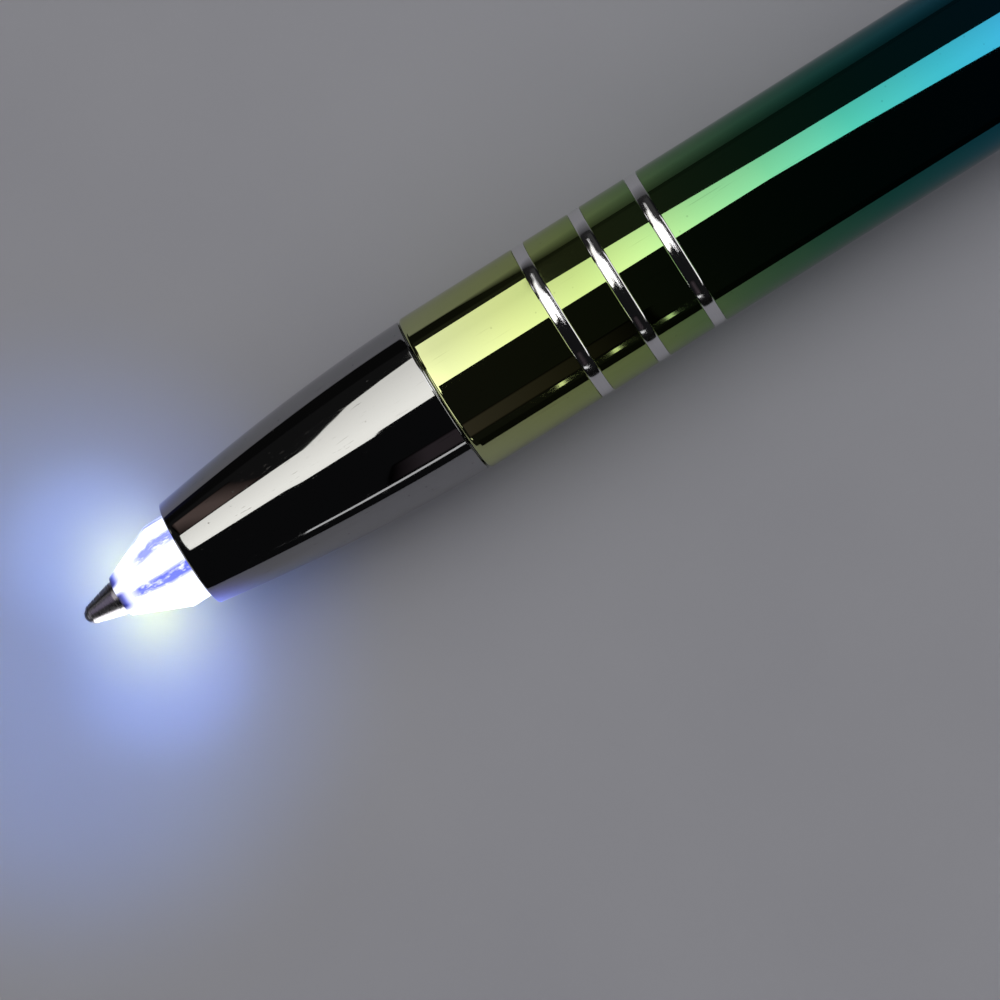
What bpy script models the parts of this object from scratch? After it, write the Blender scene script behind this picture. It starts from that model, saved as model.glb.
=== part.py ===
"""A twist-action ballpoint pen with a lighted clear tip and a rubber stylus on its other end.

Run with: blender --background --python part.py

Every length along the pen is a station, measured in metres on the pen's axis from the end of the
extended writing ball towards the stylus. The pen's own frame has X along that axis and its clip on +Z.
The finished pen is rolled onto its clip and set down on the plane z = 0, as it lies on a table.
"""

import math

import bmesh
import bpy
import numpy as np
from mathutils import Matrix, Vector

MM = 0.001
FULL_TURN = 2 * math.pi

# Fits between pieces
PRESS_GAP = 0.05 * MM  # radial gap of a pressed, screwed or glued seat
TURN_GAP = 0.08 * MM  # radial gap of a seat that slides or turns
SEAT_GAP = 0.05 * MM  # axial gap between two faces that rest on each other

# Facets of round pieces
SHELL_SEGMENTS = 32
INNER_SEGMENTS = 18
ARC_STEPS = 3
COIL_POINTS = 8  # points of a spring in each turn
SHARP_ANGLE = math.radians(35)

# Refill, which the lower half is built round
BALL_RADIUS = 0.5 * MM
BALL_GAP = 0.03 * MM
NIB_LIP_RADIUS = 0.44 * MM
NIB_LIP_WALL = 0.09 * MM
NIB_HALF_ANGLE = math.radians(13)
NIB_STEP = 0.125 * MM  # how much slimmer the nib is than the refill's tube
NIB_LENGTH = 9.0 * MM
NIB_SHANK_LENGTH = 3.0 * MM
INK_CHANNEL_RADIUS = 0.22 * MM
REFILL_LENGTH = 67.0 * MM
REFILL_RADIUS = 1.175 * MM
REFILL_WALL = 0.3 * MM

# Battery, which the barrels are built round
CELL_COUNT = 3
CELL_RADIUS = 3.95 * MM
CELL_HEIGHT = 3.6 * MM
CELL_CAP_STEP = 0.65 * MM
CELL_CAP_HEIGHT = 0.4 * MM
CELL_EDGE_CHAMFER = 0.25 * MM
BATTERY_SLEEVE_WALL = 0.42 * MM
BATTERY_SLEEVE_LEAD = 2.8 * MM  # sleeve in front of its lip
BATTERY_LIP_WIDTH = 0.65 * MM
BATTERY_LIP_LENGTH = 1.0 * MM
BATTERY_SPRING_WIRE = 0.35 * MM
BATTERY_SPRING_LENGTH = 4.8 * MM
BATTERY_SPRING_TURNS = 4
CONTACT_DISC_THICKNESS = 0.4 * MM
CONTACT_STUD_RADIUS = 0.8 * MM

# Barrels
BARREL_WALL = 0.5 * MM
BARREL_FRONT_ROUND = 0.4 * MM
BARREL_END_ROUND = 0.15 * MM
BEAD_COUNT = 3
BEAD_WIDTH = 0.86 * MM
BEAD_PITCH = 3.78 * MM
BEAD_CROWN = 0.1 * MM
BEAD_OFFSET = 8.1 * MM  # seam to the middle of the first bead

# Light board and its contacts
LED_COUNT = 3
LED_SIZE = (0.35 * MM, 1.6 * MM, 0.8 * MM)  # base height along the axis, width, depth
LED_LENS_HEIGHT = 0.3 * MM
LED_LENS_INSET = 0.12 * MM
LED_LIGHT_GAP = 0.3 * MM
BOARD_THICKNESS = 0.8 * MM
BOARD_HOLE_ROOM = 0.325 * MM  # round the refill
RESISTOR_SIZE = (0.4 * MM, 1.0 * MM, 0.5 * MM)
RESISTOR_ROOM = 0.05 * MM  # outside the contact flange's circle
RETAINER_FLANGE_LENGTH = 2.0 * MM
RETAINER_FOOT_WALL = 0.3 * MM
RETAINER_ROOM = 0.12 * MM  # round the contact flange
CONTACT_SPRING_WIRE = 0.3 * MM
CONTACT_SPRING_LENGTH = 8.0 * MM
CONTACT_SPRING_TURNS = 7
CONTACT_SPRING_MARGIN = 0.1 * MM  # of the faces that it stands on
CONTACT_TUBE_ROOM = 0.125 * MM  # round the refill
CONTACT_TUBE_WALL = 0.3 * MM
CONTACT_FLANGE_LENGTH = 0.5 * MM
LINER_WALL = 0.6 * MM
LINER_DISC_LENGTH = 1.2 * MM
LINER_DISC_COUNT = 3

# Nose cone
NOSE_LENGTH = 17.25 * MM
NOSE_FRONT_WALL = 0.3 * MM
NOSE_SET_IN = 0.08 * MM  # below the barrel at the seam
NOSE_SWELL = 1.7  # power of the curve from the front radius to the rear radius
NOSE_CURVE_STEPS = 8
NOSE_FRONT_ROUND = 0.32 * MM
NOSE_LIP = 0.9 * MM
NOSE_SPIGOT_WALL = 0.6 * MM
NOSE_SPIGOT_LENGTH = 6.5 * MM

# Clear light tip
NIB_REACH = 2.4 * MM  # how far the ball stands out of the light tip
TIP_HALF_ANGLE = math.radians(23)
TIP_FRONT_WALL = 0.17 * MM
TIP_COLLAR_SHOWN = 1.4 * MM
TIP_EDGE_ROUND = 0.08 * MM
TIP_FLANGE_STEP = 0.27 * MM
TIP_FLANGE_LENGTH = 1.2 * MM
TIP_TAIL_STEP = 0.13 * MM
TIP_TAIL_LENGTH = 3.2 * MM

# Twist mechanism
RETRACT_TRAVEL = 5.0 * MM
TWIST_ANGLE = math.pi
CARRIER_LENGTH = 13.0 * MM
CARRIER_WALL = 0.775 * MM
CARRIER_SOCKET_DEPTH = 4.0 * MM
PIN_OFFSET = 7.5 * MM  # carrier front to the follower pin
PIN_RADIUS = 0.55 * MM
PIN_ROOT = 0.9 * MM  # distance of the pin's inner end from the axis
GUIDE_WALL = 0.7 * MM
GUIDE_FLANGE_LENGTH = 2.0 * MM
GUIDE_NECK_LENGTH = 4.6 * MM  # between the flange and the stop that the carrier rests on
GUIDE_TAIL_LENGTH = 4.0 * MM  # behind the retracted carrier
CAM_DRUM_LENGTH = 4.0 * MM
CAM_SIDE_PLAY = 0.3 * MM
CAM_SLOT_PLAY = 0.1 * MM  # each side of the follower pin, square to the slot
CAM_SLOT_STEPS = 24
SLOT_END_ANGLE = math.radians(15)
GUIDE_SLOT_PLAY = 0.1 * MM
SNAP_RING_THICKNESS = 0.5 * MM
SNAP_RING_GROOVE_DEPTH = 0.35 * MM
SNAP_RING_WIDTH = 0.9 * MM
SNAP_RING_SWEEP = math.radians(290)

# Centre band
BAND_BEHIND_PIN = 3.5 * MM
BAND_LENGTH = 2.0 * MM
BAND_WALL = 0.48 * MM  # of the bearing
BAND_ROUND = 0.25 * MM
BAND_BEARING_LENGTH = 3.5 * MM  # inside the lower barrel
BAND_SPIGOT_LENGTH = 2.5 * MM  # inside the upper barrel

# Push switch
SWITCH_LENGTH = 9.4 * MM
SWITCH_FLOOR = 1.4 * MM
SWITCH_BORE_RADIUS = 1.6 * MM
PRESS_TRAVEL = 1.2 * MM
PLUNGER_INSERTION = 4.0 * MM  # plunger inside the released switch
BUTTON_SPRING_WIRE = 0.4 * MM
BUTTON_SPRING_LENGTH = 4.8 * MM
BUTTON_SPRING_TURNS = 4
BUTTON_SPRING_ROOM = 0.3 * MM  # round the holder's socket

# Stylus
HOLDER_SOCKET_DEPTH = 2.0 * MM
HOLDER_SOCKET_WALL = 0.7 * MM
HOLDER_SOCKET_LENGTH = 3.0 * MM  # socket in front of the stop flange
HOLDER_FLANGE_LENGTH = 1.5 * MM
HOLDER_STEP = 0.25 * MM  # how much slimmer the stem is than the stylus
HOLDER_SHOWN = 1.5 * MM
STUB_RADIUS = 1.9 * MM
STUB_BARB = 0.25 * MM
STUB_LENGTH = 3.2 * MM
STYLUS_RADIUS = 3.5 * MM
STYLUS_WALL = 0.9 * MM
STYLUS_SKIRT_LENGTH = 3.4 * MM
STYLUS_SKIRT_ROUND = 0.3 * MM

# Clip and top collar
CLIP_BAND_LENGTH = 1.5 * MM
CLIP_THICKNESS = 0.8 * MM
CLIP_GAP = 2.35 * MM  # blade to barrel
CLIP_LENGTH = 37.0 * MM
CLIP_ROOT_WIDTH = 4.8 * MM
CLIP_END_WIDTH = 3.6 * MM
CLIP_BEND_RADIUS = 1.4 * MM
CLIP_BEAD_GAP = 0.35 * MM  # the bead at the free end to the barrel
CLIP_BEAD_FROM_END = 2.6 * MM
CLIP_DIP_LENGTH = 9.0 * MM  # the sloping stretch from the straight blade to the bead
CLIP_FLICK = 1.0 * MM  # how far the end turns up past the bead
CLIP_EDGE_ROUND = 0.18 * MM
COLLAR_GRIP = 6.7 * MM  # spigot inside the upper barrel
COLLAR_LENGTH = 5.8 * MM
COLLAR_END_WALL = 0.67 * MM
COLLAR_STRAIGHT = 1.6 * MM
COLLAR_ROUND = 0.35 * MM

# Radii of the barrels and the twist mechanism, from the cells inwards and the refill outwards
BORE_RADIUS = CELL_RADIUS + TURN_GAP + BATTERY_SLEEVE_WALL + PRESS_GAP
SEATED_RADIUS = BORE_RADIUS - PRESS_GAP
BARREL_RADIUS = BORE_RADIUS + BARREL_WALL
CARRIER_RADIUS = REFILL_RADIUS + PRESS_GAP + CARRIER_WALL
GUIDE_BORE_RADIUS = CARRIER_RADIUS + TURN_GAP
GUIDE_RADIUS = GUIDE_BORE_RADIUS + GUIDE_WALL
CAM_BORE_RADIUS = GUIDE_RADIUS + TURN_GAP
BAND_BEARING_RADIUS = BORE_RADIUS - TURN_GAP
BAND_BORE_RADIUS = BAND_BEARING_RADIUS - BAND_WALL
CAM_RADIUS = BAND_BORE_RADIUS - TURN_GAP
BATTERY_SPRING_RADIUS = (GUIDE_BORE_RADIUS + GUIDE_RADIUS) / 2

# Radii round the refill in the nose, from the refill outwards
NIB_RADIUS = REFILL_RADIUS - NIB_STEP
TIP_FRONT_RADIUS = NIB_RADIUS + TURN_GAP + TIP_FRONT_WALL
CONTACT_TUBE_BORE_RADIUS = REFILL_RADIUS + CONTACT_TUBE_ROOM
CONTACT_TUBE_RADIUS = CONTACT_TUBE_BORE_RADIUS + CONTACT_TUBE_WALL
BOARD_HOLE_RADIUS = REFILL_RADIUS + BOARD_HOLE_ROOM
CONTACT_SPRING_RADIUS = BOARD_HOLE_RADIUS + CONTACT_SPRING_MARGIN + CONTACT_SPRING_WIRE / 2
CONTACT_FLANGE_RADIUS = CONTACT_SPRING_RADIUS + CONTACT_SPRING_WIRE / 2 + CONTACT_SPRING_MARGIN
RETAINER_BORE_RADIUS = CONTACT_FLANGE_RADIUS + RETAINER_ROOM
RESISTOR_CIRCLE_RADIUS = CONTACT_FLANGE_RADIUS + RESISTOR_ROOM + RESISTOR_SIZE[2] / 2
RESISTOR_REACH = math.hypot(RESISTOR_CIRCLE_RADIUS + RESISTOR_SIZE[2] / 2, RESISTOR_SIZE[1] / 2)
RETAINER_FOOT_RADIUS = RESISTOR_REACH + TURN_GAP + RETAINER_FOOT_WALL
NOSE_BORE_RADIUS = RETAINER_FOOT_RADIUS + PRESS_GAP
NOSE_FRONT_RADIUS = NOSE_BORE_RADIUS + NOSE_FRONT_WALL
NOSE_REAR_RADIUS = BARREL_RADIUS - NOSE_SET_IN
NOSE_COUNTERBORE_RADIUS = SEATED_RADIUS - NOSE_SPIGOT_WALL
TIP_FLANGE_RADIUS = NOSE_BORE_RADIUS - PRESS_GAP
TIP_COLLAR_RADIUS = TIP_FLANGE_RADIUS - TIP_FLANGE_STEP
TIP_TAIL_RADIUS = TIP_COLLAR_RADIUS - TIP_TAIL_STEP
LED_CIRCLE_RADIUS = (BOARD_HOLE_RADIUS + TIP_TAIL_RADIUS) / 2

# Radii of the switch and the stylus
PLUNGER_RADIUS = SWITCH_BORE_RADIUS - TURN_GAP
HOLDER_SOCKET_RADIUS = PLUNGER_RADIUS + PRESS_GAP
HOLDER_NECK_RADIUS = HOLDER_SOCKET_RADIUS + HOLDER_SOCKET_WALL
HOLDER_FLANGE_RADIUS = BORE_RADIUS - TURN_GAP
HOLDER_RADIUS = STYLUS_RADIUS - HOLDER_STEP
BUTTON_SPRING_RADIUS = HOLDER_NECK_RADIUS + BUTTON_SPRING_ROOM + BUTTON_SPRING_WIRE / 2
COLLAR_BORE_RADIUS = HOLDER_RADIUS + TURN_GAP
COLLAR_END_RADIUS = COLLAR_BORE_RADIUS + COLLAR_END_WALL

# Stations of the nose and what is in it, front to rear
TIP_FRONT = NIB_REACH
TIP_SHOULDER = TIP_FRONT + (TIP_COLLAR_RADIUS - TIP_FRONT_RADIUS) / math.tan(TIP_HALF_ANGLE)
NOSE_FRONT = TIP_SHOULDER + TIP_COLLAR_SHOWN
SEAM = NOSE_FRONT + NOSE_LENGTH
LIP_END = NOSE_FRONT + NOSE_LIP
FLANGE_START = LIP_END + SEAT_GAP
FLANGE_END = FLANGE_START + TIP_FLANGE_LENGTH
TAIL_END = FLANGE_END + TIP_TAIL_LENGTH
LED_HEIGHT = LED_SIZE[0] + LED_LENS_HEIGHT
BOARD_FRONT = TAIL_END + LED_LIGHT_GAP + LED_HEIGHT + SEAT_GAP
BOARD_REAR = BOARD_FRONT + BOARD_THICKNESS
COUNTERBORE_START = BOARD_REAR + RESISTOR_SIZE[0] + SEAT_GAP
RETAINER_FRONT = BOARD_REAR + SEAT_GAP
RETAINER_SHOULDER = COUNTERBORE_START + SEAT_GAP
RETAINER_REAR = RETAINER_SHOULDER + RETAINER_FLANGE_LENGTH
SPIGOT_END = SEAM + NOSE_SPIGOT_LENGTH
CONTACT_SPRING_START = BOARD_REAR + SEAT_GAP
CONTACT_SPRING_END = CONTACT_SPRING_START + CONTACT_SPRING_LENGTH
CONTACT_TUBE_START = CONTACT_SPRING_END + SEAT_GAP

# Stations of the twist mechanism
CARRIER_FRONT = REFILL_LENGTH - CARRIER_SOCKET_DEPTH
CARRIER_REAR = CARRIER_FRONT + CARRIER_LENGTH
PIN_STATION = CARRIER_FRONT + PIN_OFFSET
GUIDE_STOP = CARRIER_FRONT - SEAT_GAP
GUIDE_FLANGE_END = GUIDE_STOP - GUIDE_NECK_LENGTH
GUIDE_START = GUIDE_FLANGE_END - GUIDE_FLANGE_LENGTH
GUIDE_END = CARRIER_REAR + RETRACT_TRAVEL + GUIDE_TAIL_LENGTH
CAM_START = GUIDE_FLANGE_END + CAM_SIDE_PLAY
SNAP_RING_REAR = GUIDE_END - SNAP_RING_THICKNESS
SNAP_RING_FRONT = SNAP_RING_REAR - SNAP_RING_THICKNESS
CAM_END = SNAP_RING_FRONT - CAM_SIDE_PLAY
CAM_DRUM_START = CAM_END - CAM_DRUM_LENGTH
CONTACT_TUBE_END = GUIDE_START - SEAT_GAP
LINER_START = SPIGOT_END + SEAT_GAP
LINER_END = GUIDE_START - SEAT_GAP
LOWER_START = SEAM + SEAT_GAP
BAND_START = PIN_STATION + BAND_BEHIND_PIN
LOWER_END = BAND_START - SEAT_GAP
BAND_END = BAND_START + BAND_LENGTH
UPPER_START = BAND_END + SEAT_GAP

# Stations of the battery, the switch and the stylus
BATTERY_SPRING_START = GUIDE_END + SEAT_GAP
CELLS_START = BATTERY_SPRING_START + BATTERY_SPRING_LENGTH + SEAT_GAP
CELL_STEP = CELL_HEIGHT + SEAT_GAP
CELLS_END = CELLS_START + CELL_COUNT * CELL_STEP
SLEEVE_LIP_END = CELLS_START - SEAT_GAP
SLEEVE_LIP_START = SLEEVE_LIP_END - BATTERY_LIP_LENGTH
SLEEVE_START = SLEEVE_LIP_START - BATTERY_SLEEVE_LEAD
DISC_END = CELLS_END + CONTACT_DISC_THICKNESS
SWITCH_START = DISC_END + SEAT_GAP
SLEEVE_END = SWITCH_START - SEAT_GAP
SWITCH_BORE_START = SWITCH_START + SWITCH_FLOOR
SWITCH_END = SWITCH_START + SWITCH_LENGTH
PLUNGER_START = SWITCH_END - PLUNGER_INSERTION
STUD_END = PLUNGER_START - PRESS_TRAVEL - SEAT_GAP
BUTTON_SPRING_START = SWITCH_END + SEAT_GAP
HOLDER_FLANGE_START = BUTTON_SPRING_START + BUTTON_SPRING_LENGTH + SEAT_GAP
HOLDER_FLANGE_END = HOLDER_FLANGE_START + HOLDER_FLANGE_LENGTH
HOLDER_START = HOLDER_FLANGE_START - HOLDER_SOCKET_LENGTH
PLUNGER_END = HOLDER_START + HOLDER_SOCKET_DEPTH
COLLAR_SPIGOT_START = HOLDER_FLANGE_END + SEAT_GAP
UPPER_END = COLLAR_SPIGOT_START + COLLAR_GRIP
CLIP_START = UPPER_END + SEAT_GAP
CLIP_END = CLIP_START + CLIP_BAND_LENGTH
COLLAR_START = CLIP_END + SEAT_GAP
COLLAR_END = COLLAR_START + COLLAR_LENGTH
STYLUS_START = COLLAR_END + HOLDER_SHOWN
STYLUS_END = STYLUS_START + STYLUS_SKIRT_LENGTH + STYLUS_RADIUS


# Scene and materials


def clear_scene():
    for obj in list(bpy.data.objects):
        bpy.data.objects.remove(obj)


def finish(name, colour, roughness, metallic, transmission=0.0):
    """A plain surface finish, made once and shared by the pieces that have it."""
    made = bpy.data.materials.get(name)
    if made is None:
        made = bpy.data.materials.new(name)
        made.use_nodes = True
        surface = made.node_tree.nodes["Principled BSDF"]
        surface.inputs["Base Color"].default_value = (*colour, 1.0)
        surface.inputs["Roughness"].default_value = roughness
        surface.inputs["Metallic"].default_value = metallic
        surface.inputs["Transmission Weight"].default_value = transmission
    return made


def chrome():
    return finish("bright_chrome", (0.62, 0.61, 0.62), 0.06, 1.0)


def rainbow_coat():
    return finish("rainbow_coat", (0.25, 0.62, 0.42), 0.08, 1.0)


def clear_acrylic():
    return finish("clear_acrylic", (0.93, 0.95, 1.0), 0.03, 0.0, 0.9)


def brass():
    return finish("brass", (0.72, 0.55, 0.25), 0.25, 1.0)


def steel():
    return finish("nickel_steel", (0.55, 0.55, 0.56), 0.2, 1.0)


def white_plastic():
    return finish("white_plastic", (0.8, 0.8, 0.78), 0.45, 0.0)


def black_plastic():
    return finish("black_plastic", (0.03, 0.03, 0.03), 0.4, 0.0)


def black_rubber():
    return finish("black_rubber", (0.02, 0.02, 0.022), 0.6, 0.0)


def board_resin():
    return finish("board_resin", (0.05, 0.25, 0.1), 0.5, 0.0)


def led_resin():
    return finish("led_resin", (0.95, 0.93, 0.75), 0.2, 0.0)


# Modelling helpers


def frame(name, station, parent=None):
    """An empty on the pen's axis. The pieces of one moving body are parented to it."""
    empty = bpy.data.objects.new(name, None)
    bpy.context.scene.collection.objects.link(empty)
    empty["station"] = station
    if parent is not None:
        empty.parent = parent
        empty.location.x = station - parent["station"]
    return empty


def add_object(name, data, body, material):
    """A named piece in the pen's own coordinates, carried by its body's frame."""
    obj = bpy.data.objects.new(name, data)
    bpy.context.scene.collection.objects.link(obj)
    obj.parent = body
    obj.location.x = -body["station"]
    data.materials.append(material)
    return obj


def mesh_from(bm, name):
    bmesh.ops.recalc_face_normals(bm, faces=bm.faces)
    mesh = bpy.data.meshes.new(name)
    bm.to_mesh(mesh)
    bm.free()
    mesh.shade_smooth()
    mesh.set_sharp_from_angle(angle=SHARP_ANGLE)
    return mesh


def arc(station, radius, size, start, end, steps=ARC_STEPS):
    """Outline points round a corner: centre at (station, radius), angles in degrees from the rear."""
    angles = [math.radians(start + (end - start) * i / steps) for i in range(steps + 1)]
    return [(station + size * math.cos(a), radius + size * math.sin(a)) for a in angles]


def turned(name, outline, body, material, segments=INNER_SEGMENTS, sweep=FULL_TURN):
    """A piece turned on the pen's axis from an outline of (station, radius) points."""
    bm = bmesh.new()
    verts = [bm.verts.new((station, 0, radius)) for station, radius in outline]
    edges = [bm.edges.new(pair) for pair in zip(verts, verts[1:])]
    solid_core = outline[0][1] == 0 and outline[-1][1] == 0
    if not solid_core:
        edges.append(bm.edges.new((verts[-1], verts[0])))
    swept = verts + edges
    if sweep < FULL_TURN:
        swept = swept + [bm.faces.new(verts)]
    bmesh.ops.spin(
        bm,
        geom=swept,
        cent=(0, 0, 0),
        axis=(1, 0, 0),
        angle=sweep,
        steps=segments,
        use_merge=sweep == FULL_TURN,
    )
    bmesh.ops.remove_doubles(bm, verts=bm.verts, dist=MM * 1e-4)
    return add_object(name, mesh_from(bm, name), body, material)


def helper(obj):
    """Marks a cutter or a joining body, which isn't a piece of the pen."""
    obj.hide_render = True
    obj.display_type = "WIRE"
    return obj


def combine(obj, other, operation):
    modifier = obj.modifiers.new(operation.lower(), "BOOLEAN")
    modifier.operation = operation
    modifier.solver = "EXACT"
    modifier.object = helper(other)


def box(name, size, centre, body, material):
    bm = bmesh.new()
    bmesh.ops.create_cube(bm, size=1.0)
    bmesh.ops.scale(bm, vec=size, verts=bm.verts)
    bmesh.ops.translate(bm, vec=centre, verts=bm.verts)
    return add_object(name, mesh_from(bm, name), body, material)


def coil(name, radius, wire, start, length, turns, body):
    """A spring of round wire, wound on the pen's axis between two stations."""
    count = turns * COIL_POINTS
    lead = length - wire
    points = []
    for i in range(count + 1):
        angle = FULL_TURN * turns * i / count
        station = start + wire / 2 + lead * i / count
        points.append(Vector((station, radius * math.sin(angle), radius * math.cos(angle))))
    curve = bpy.data.curves.new(name, "CURVE")
    curve.dimensions = "3D"
    curve.bevel_depth = wire / 2
    curve.bevel_resolution = 1
    curve.use_fill_caps = True
    spline = curve.splines.new("POLY")
    spline.points.add(count)
    for point, place in zip(spline.points, points):
        point.co = (*place, 1.0)
    distances = [
        (a - b).length
        for i, a in enumerate(points)
        for b in points[i + COIL_POINTS // 2 :]
    ]
    print(f"{name}: least gap between its turns {(min(distances) - wire) / MM:.2f} mm")
    return add_object(name, curve, body, steel())


# Nose, light tip and lower barrel


def nose_radius(station):
    """The outer curve of the nose cone, which swells from its front to the seam."""
    share = (SEAM - station) / NOSE_LENGTH
    return NOSE_REAR_RADIUS - (NOSE_REAR_RADIUS - NOSE_FRONT_RADIUS) * share**NOSE_SWELL


def nose_cone(body):
    round_end = NOSE_FRONT + NOSE_FRONT_ROUND
    rounded = arc(round_end, nose_radius(round_end) - NOSE_FRONT_ROUND, NOSE_FRONT_ROUND, 180, 90)
    stations = np.linspace(round_end, SEAM, NOSE_CURVE_STEPS + 1)[1:]
    swell = [(station, nose_radius(station)) for station in stations]
    hole = TIP_COLLAR_RADIUS + PRESS_GAP
    inside = [
        (SEAM, SEATED_RADIUS),
        (SPIGOT_END, SEATED_RADIUS),
        (SPIGOT_END, NOSE_COUNTERBORE_RADIUS),
        (COUNTERBORE_START, NOSE_COUNTERBORE_RADIUS),
        (COUNTERBORE_START, NOSE_BORE_RADIUS),
        (LIP_END, NOSE_BORE_RADIUS),
        (LIP_END, hole),
        (NOSE_FRONT, hole),
    ]
    return turned("nose_cone", rounded + swell + inside, body, chrome(), SHELL_SEGMENTS)


def light_tip(body):
    nib_bore = NIB_RADIUS + TURN_GAP
    edge = arc(TIP_FRONT + TIP_EDGE_ROUND, TIP_FRONT_RADIUS - TIP_EDGE_ROUND, TIP_EDGE_ROUND, 180, 90)
    outline = [
        (TIP_FRONT, nib_bore),
        *edge,
        (TIP_SHOULDER, TIP_COLLAR_RADIUS),
        (FLANGE_START, TIP_COLLAR_RADIUS),
        (FLANGE_START, TIP_FLANGE_RADIUS),
        (FLANGE_END, TIP_FLANGE_RADIUS),
        (FLANGE_END, TIP_TAIL_RADIUS),
        (TAIL_END, TIP_TAIL_RADIUS),
        (TAIL_END, BOARD_HOLE_RADIUS),
        (NOSE_FRONT, BOARD_HOLE_RADIUS),
        (NOSE_FRONT, nib_bore),
    ]
    return turned("light_tip", outline, body, clear_acrylic(), SHELL_SEGMENTS)


def bead(middle):
    """One bare turned bead of the grip, flush with the coat and with a sharp groove on each side."""
    half = BEAD_WIDTH / 2
    size = (half**2 + BEAD_CROWN**2) / (2 * BEAD_CROWN)
    spread = math.degrees(math.asin(half / size))
    start, end = middle - half, middle + half
    crown = arc(middle, BARREL_RADIUS - size, size, 90 + spread, 90 - spread)
    return [(start, BARREL_RADIUS), *crown, (end, BARREL_RADIUS)]


def lower_barrel(body):
    front = arc(
        LOWER_START + BARREL_FRONT_ROUND, BARREL_RADIUS - BARREL_FRONT_ROUND, BARREL_FRONT_ROUND, 180, 90
    )
    beads = []
    for i in range(BEAD_COUNT):
        beads += bead(SEAM + BEAD_OFFSET + i * BEAD_PITCH)
    end = arc(LOWER_END - BARREL_END_ROUND, BARREL_RADIUS - BARREL_END_ROUND, BARREL_END_ROUND, 90, 0)
    bore = [(LOWER_END, BORE_RADIUS), (LOWER_START, BORE_RADIUS)]
    return turned("lower_barrel", front + beads + end + bore, body, rainbow_coat(), SHELL_SEGMENTS)


# Light board and its contacts


def led(index, body):
    """A surface-mounted light, its lens facing the tail of the light tip."""
    height, width, depth = LED_SIZE
    bm = bmesh.new()
    bmesh.ops.create_cube(bm, size=1.0)
    bmesh.ops.scale(bm, vec=LED_SIZE, verts=bm.verts)
    front = min(bm.faces, key=lambda face: face.calc_center_median().x)
    bmesh.ops.inset_region(bm, faces=[front], thickness=LED_LENS_INSET)
    raised = bmesh.ops.extrude_face_region(bm, geom=[front])["geom"]
    lens = [v for v in raised if isinstance(v, bmesh.types.BMVert)]
    bmesh.ops.delete(bm, geom=[front], context="FACES_ONLY")
    bmesh.ops.translate(bm, vec=(-LED_LENS_HEIGHT, 0, 0), verts=lens)
    bmesh.ops.translate(
        bm, vec=(BOARD_FRONT - SEAT_GAP - height / 2, 0, LED_CIRCLE_RADIUS), verts=bm.verts
    )
    obj = add_object(f"led_{index + 1}", mesh_from(bm, "led"), body, led_resin())
    obj.rotation_euler.x = FULL_TURN * index / LED_COUNT
    return obj


def led_board(body):
    radius = NOSE_BORE_RADIUS - PRESS_GAP
    outline = [
        (BOARD_FRONT, BOARD_HOLE_RADIUS),
        (BOARD_FRONT, radius),
        (BOARD_REAR, radius),
        (BOARD_REAR, BOARD_HOLE_RADIUS),
    ]
    return turned("led_board", outline, body, board_resin())


def board_resistor(body):
    centre = (BOARD_REAR + SEAT_GAP + RESISTOR_SIZE[0] / 2, 0, RESISTOR_CIRCLE_RADIUS)
    return box("board_resistor", RESISTOR_SIZE, centre, body, black_plastic())


def board_retainer(body):
    """The plastic bush that presses the light board forward with a thin foot round its rim."""
    radius = NOSE_COUNTERBORE_RADIUS - PRESS_GAP
    foot_bore = RETAINER_FOOT_RADIUS - RETAINER_FOOT_WALL
    outline = [
        (RETAINER_FRONT, foot_bore),
        (RETAINER_FRONT, RETAINER_FOOT_RADIUS),
        (RETAINER_SHOULDER, RETAINER_FOOT_RADIUS),
        (RETAINER_SHOULDER, radius),
        (RETAINER_REAR, radius),
        (RETAINER_REAR, RETAINER_BORE_RADIUS),
        (RETAINER_SHOULDER, RETAINER_BORE_RADIUS),
        (RETAINER_SHOULDER, foot_bore),
    ]
    return turned("board_retainer", outline, body, white_plastic())


def contact_tube(body):
    outline = [
        (CONTACT_TUBE_START, CONTACT_TUBE_BORE_RADIUS),
        (CONTACT_TUBE_START, CONTACT_FLANGE_RADIUS),
        (CONTACT_TUBE_START + CONTACT_FLANGE_LENGTH, CONTACT_FLANGE_RADIUS),
        (CONTACT_TUBE_START + CONTACT_FLANGE_LENGTH, CONTACT_TUBE_RADIUS),
        (CONTACT_TUBE_END, CONTACT_TUBE_RADIUS),
        (CONTACT_TUBE_END, CONTACT_TUBE_BORE_RADIUS),
    ]
    return turned("contact_tube", outline, body, brass())


def insulating_sleeve(body):
    """A moulded spool that keeps the live contact tube off the barrel."""
    bore = CONTACT_TUBE_RADIUS + PRESS_GAP
    skin = bore + LINER_WALL
    outline = [(LINER_START, bore)]
    pitch = (LINER_END - LINER_START - LINER_DISC_LENGTH) / (LINER_DISC_COUNT - 1)
    for i in range(LINER_DISC_COUNT):
        disc = LINER_START + i * pitch
        outline += [
            (disc, skin),
            (disc, SEATED_RADIUS),
            (disc + LINER_DISC_LENGTH, SEATED_RADIUS),
            (disc + LINER_DISC_LENGTH, skin),
        ]
    outline.append((LINER_END, bore))
    return turned("insulating_sleeve", outline, body, white_plastic())


# Twist mechanism


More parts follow.
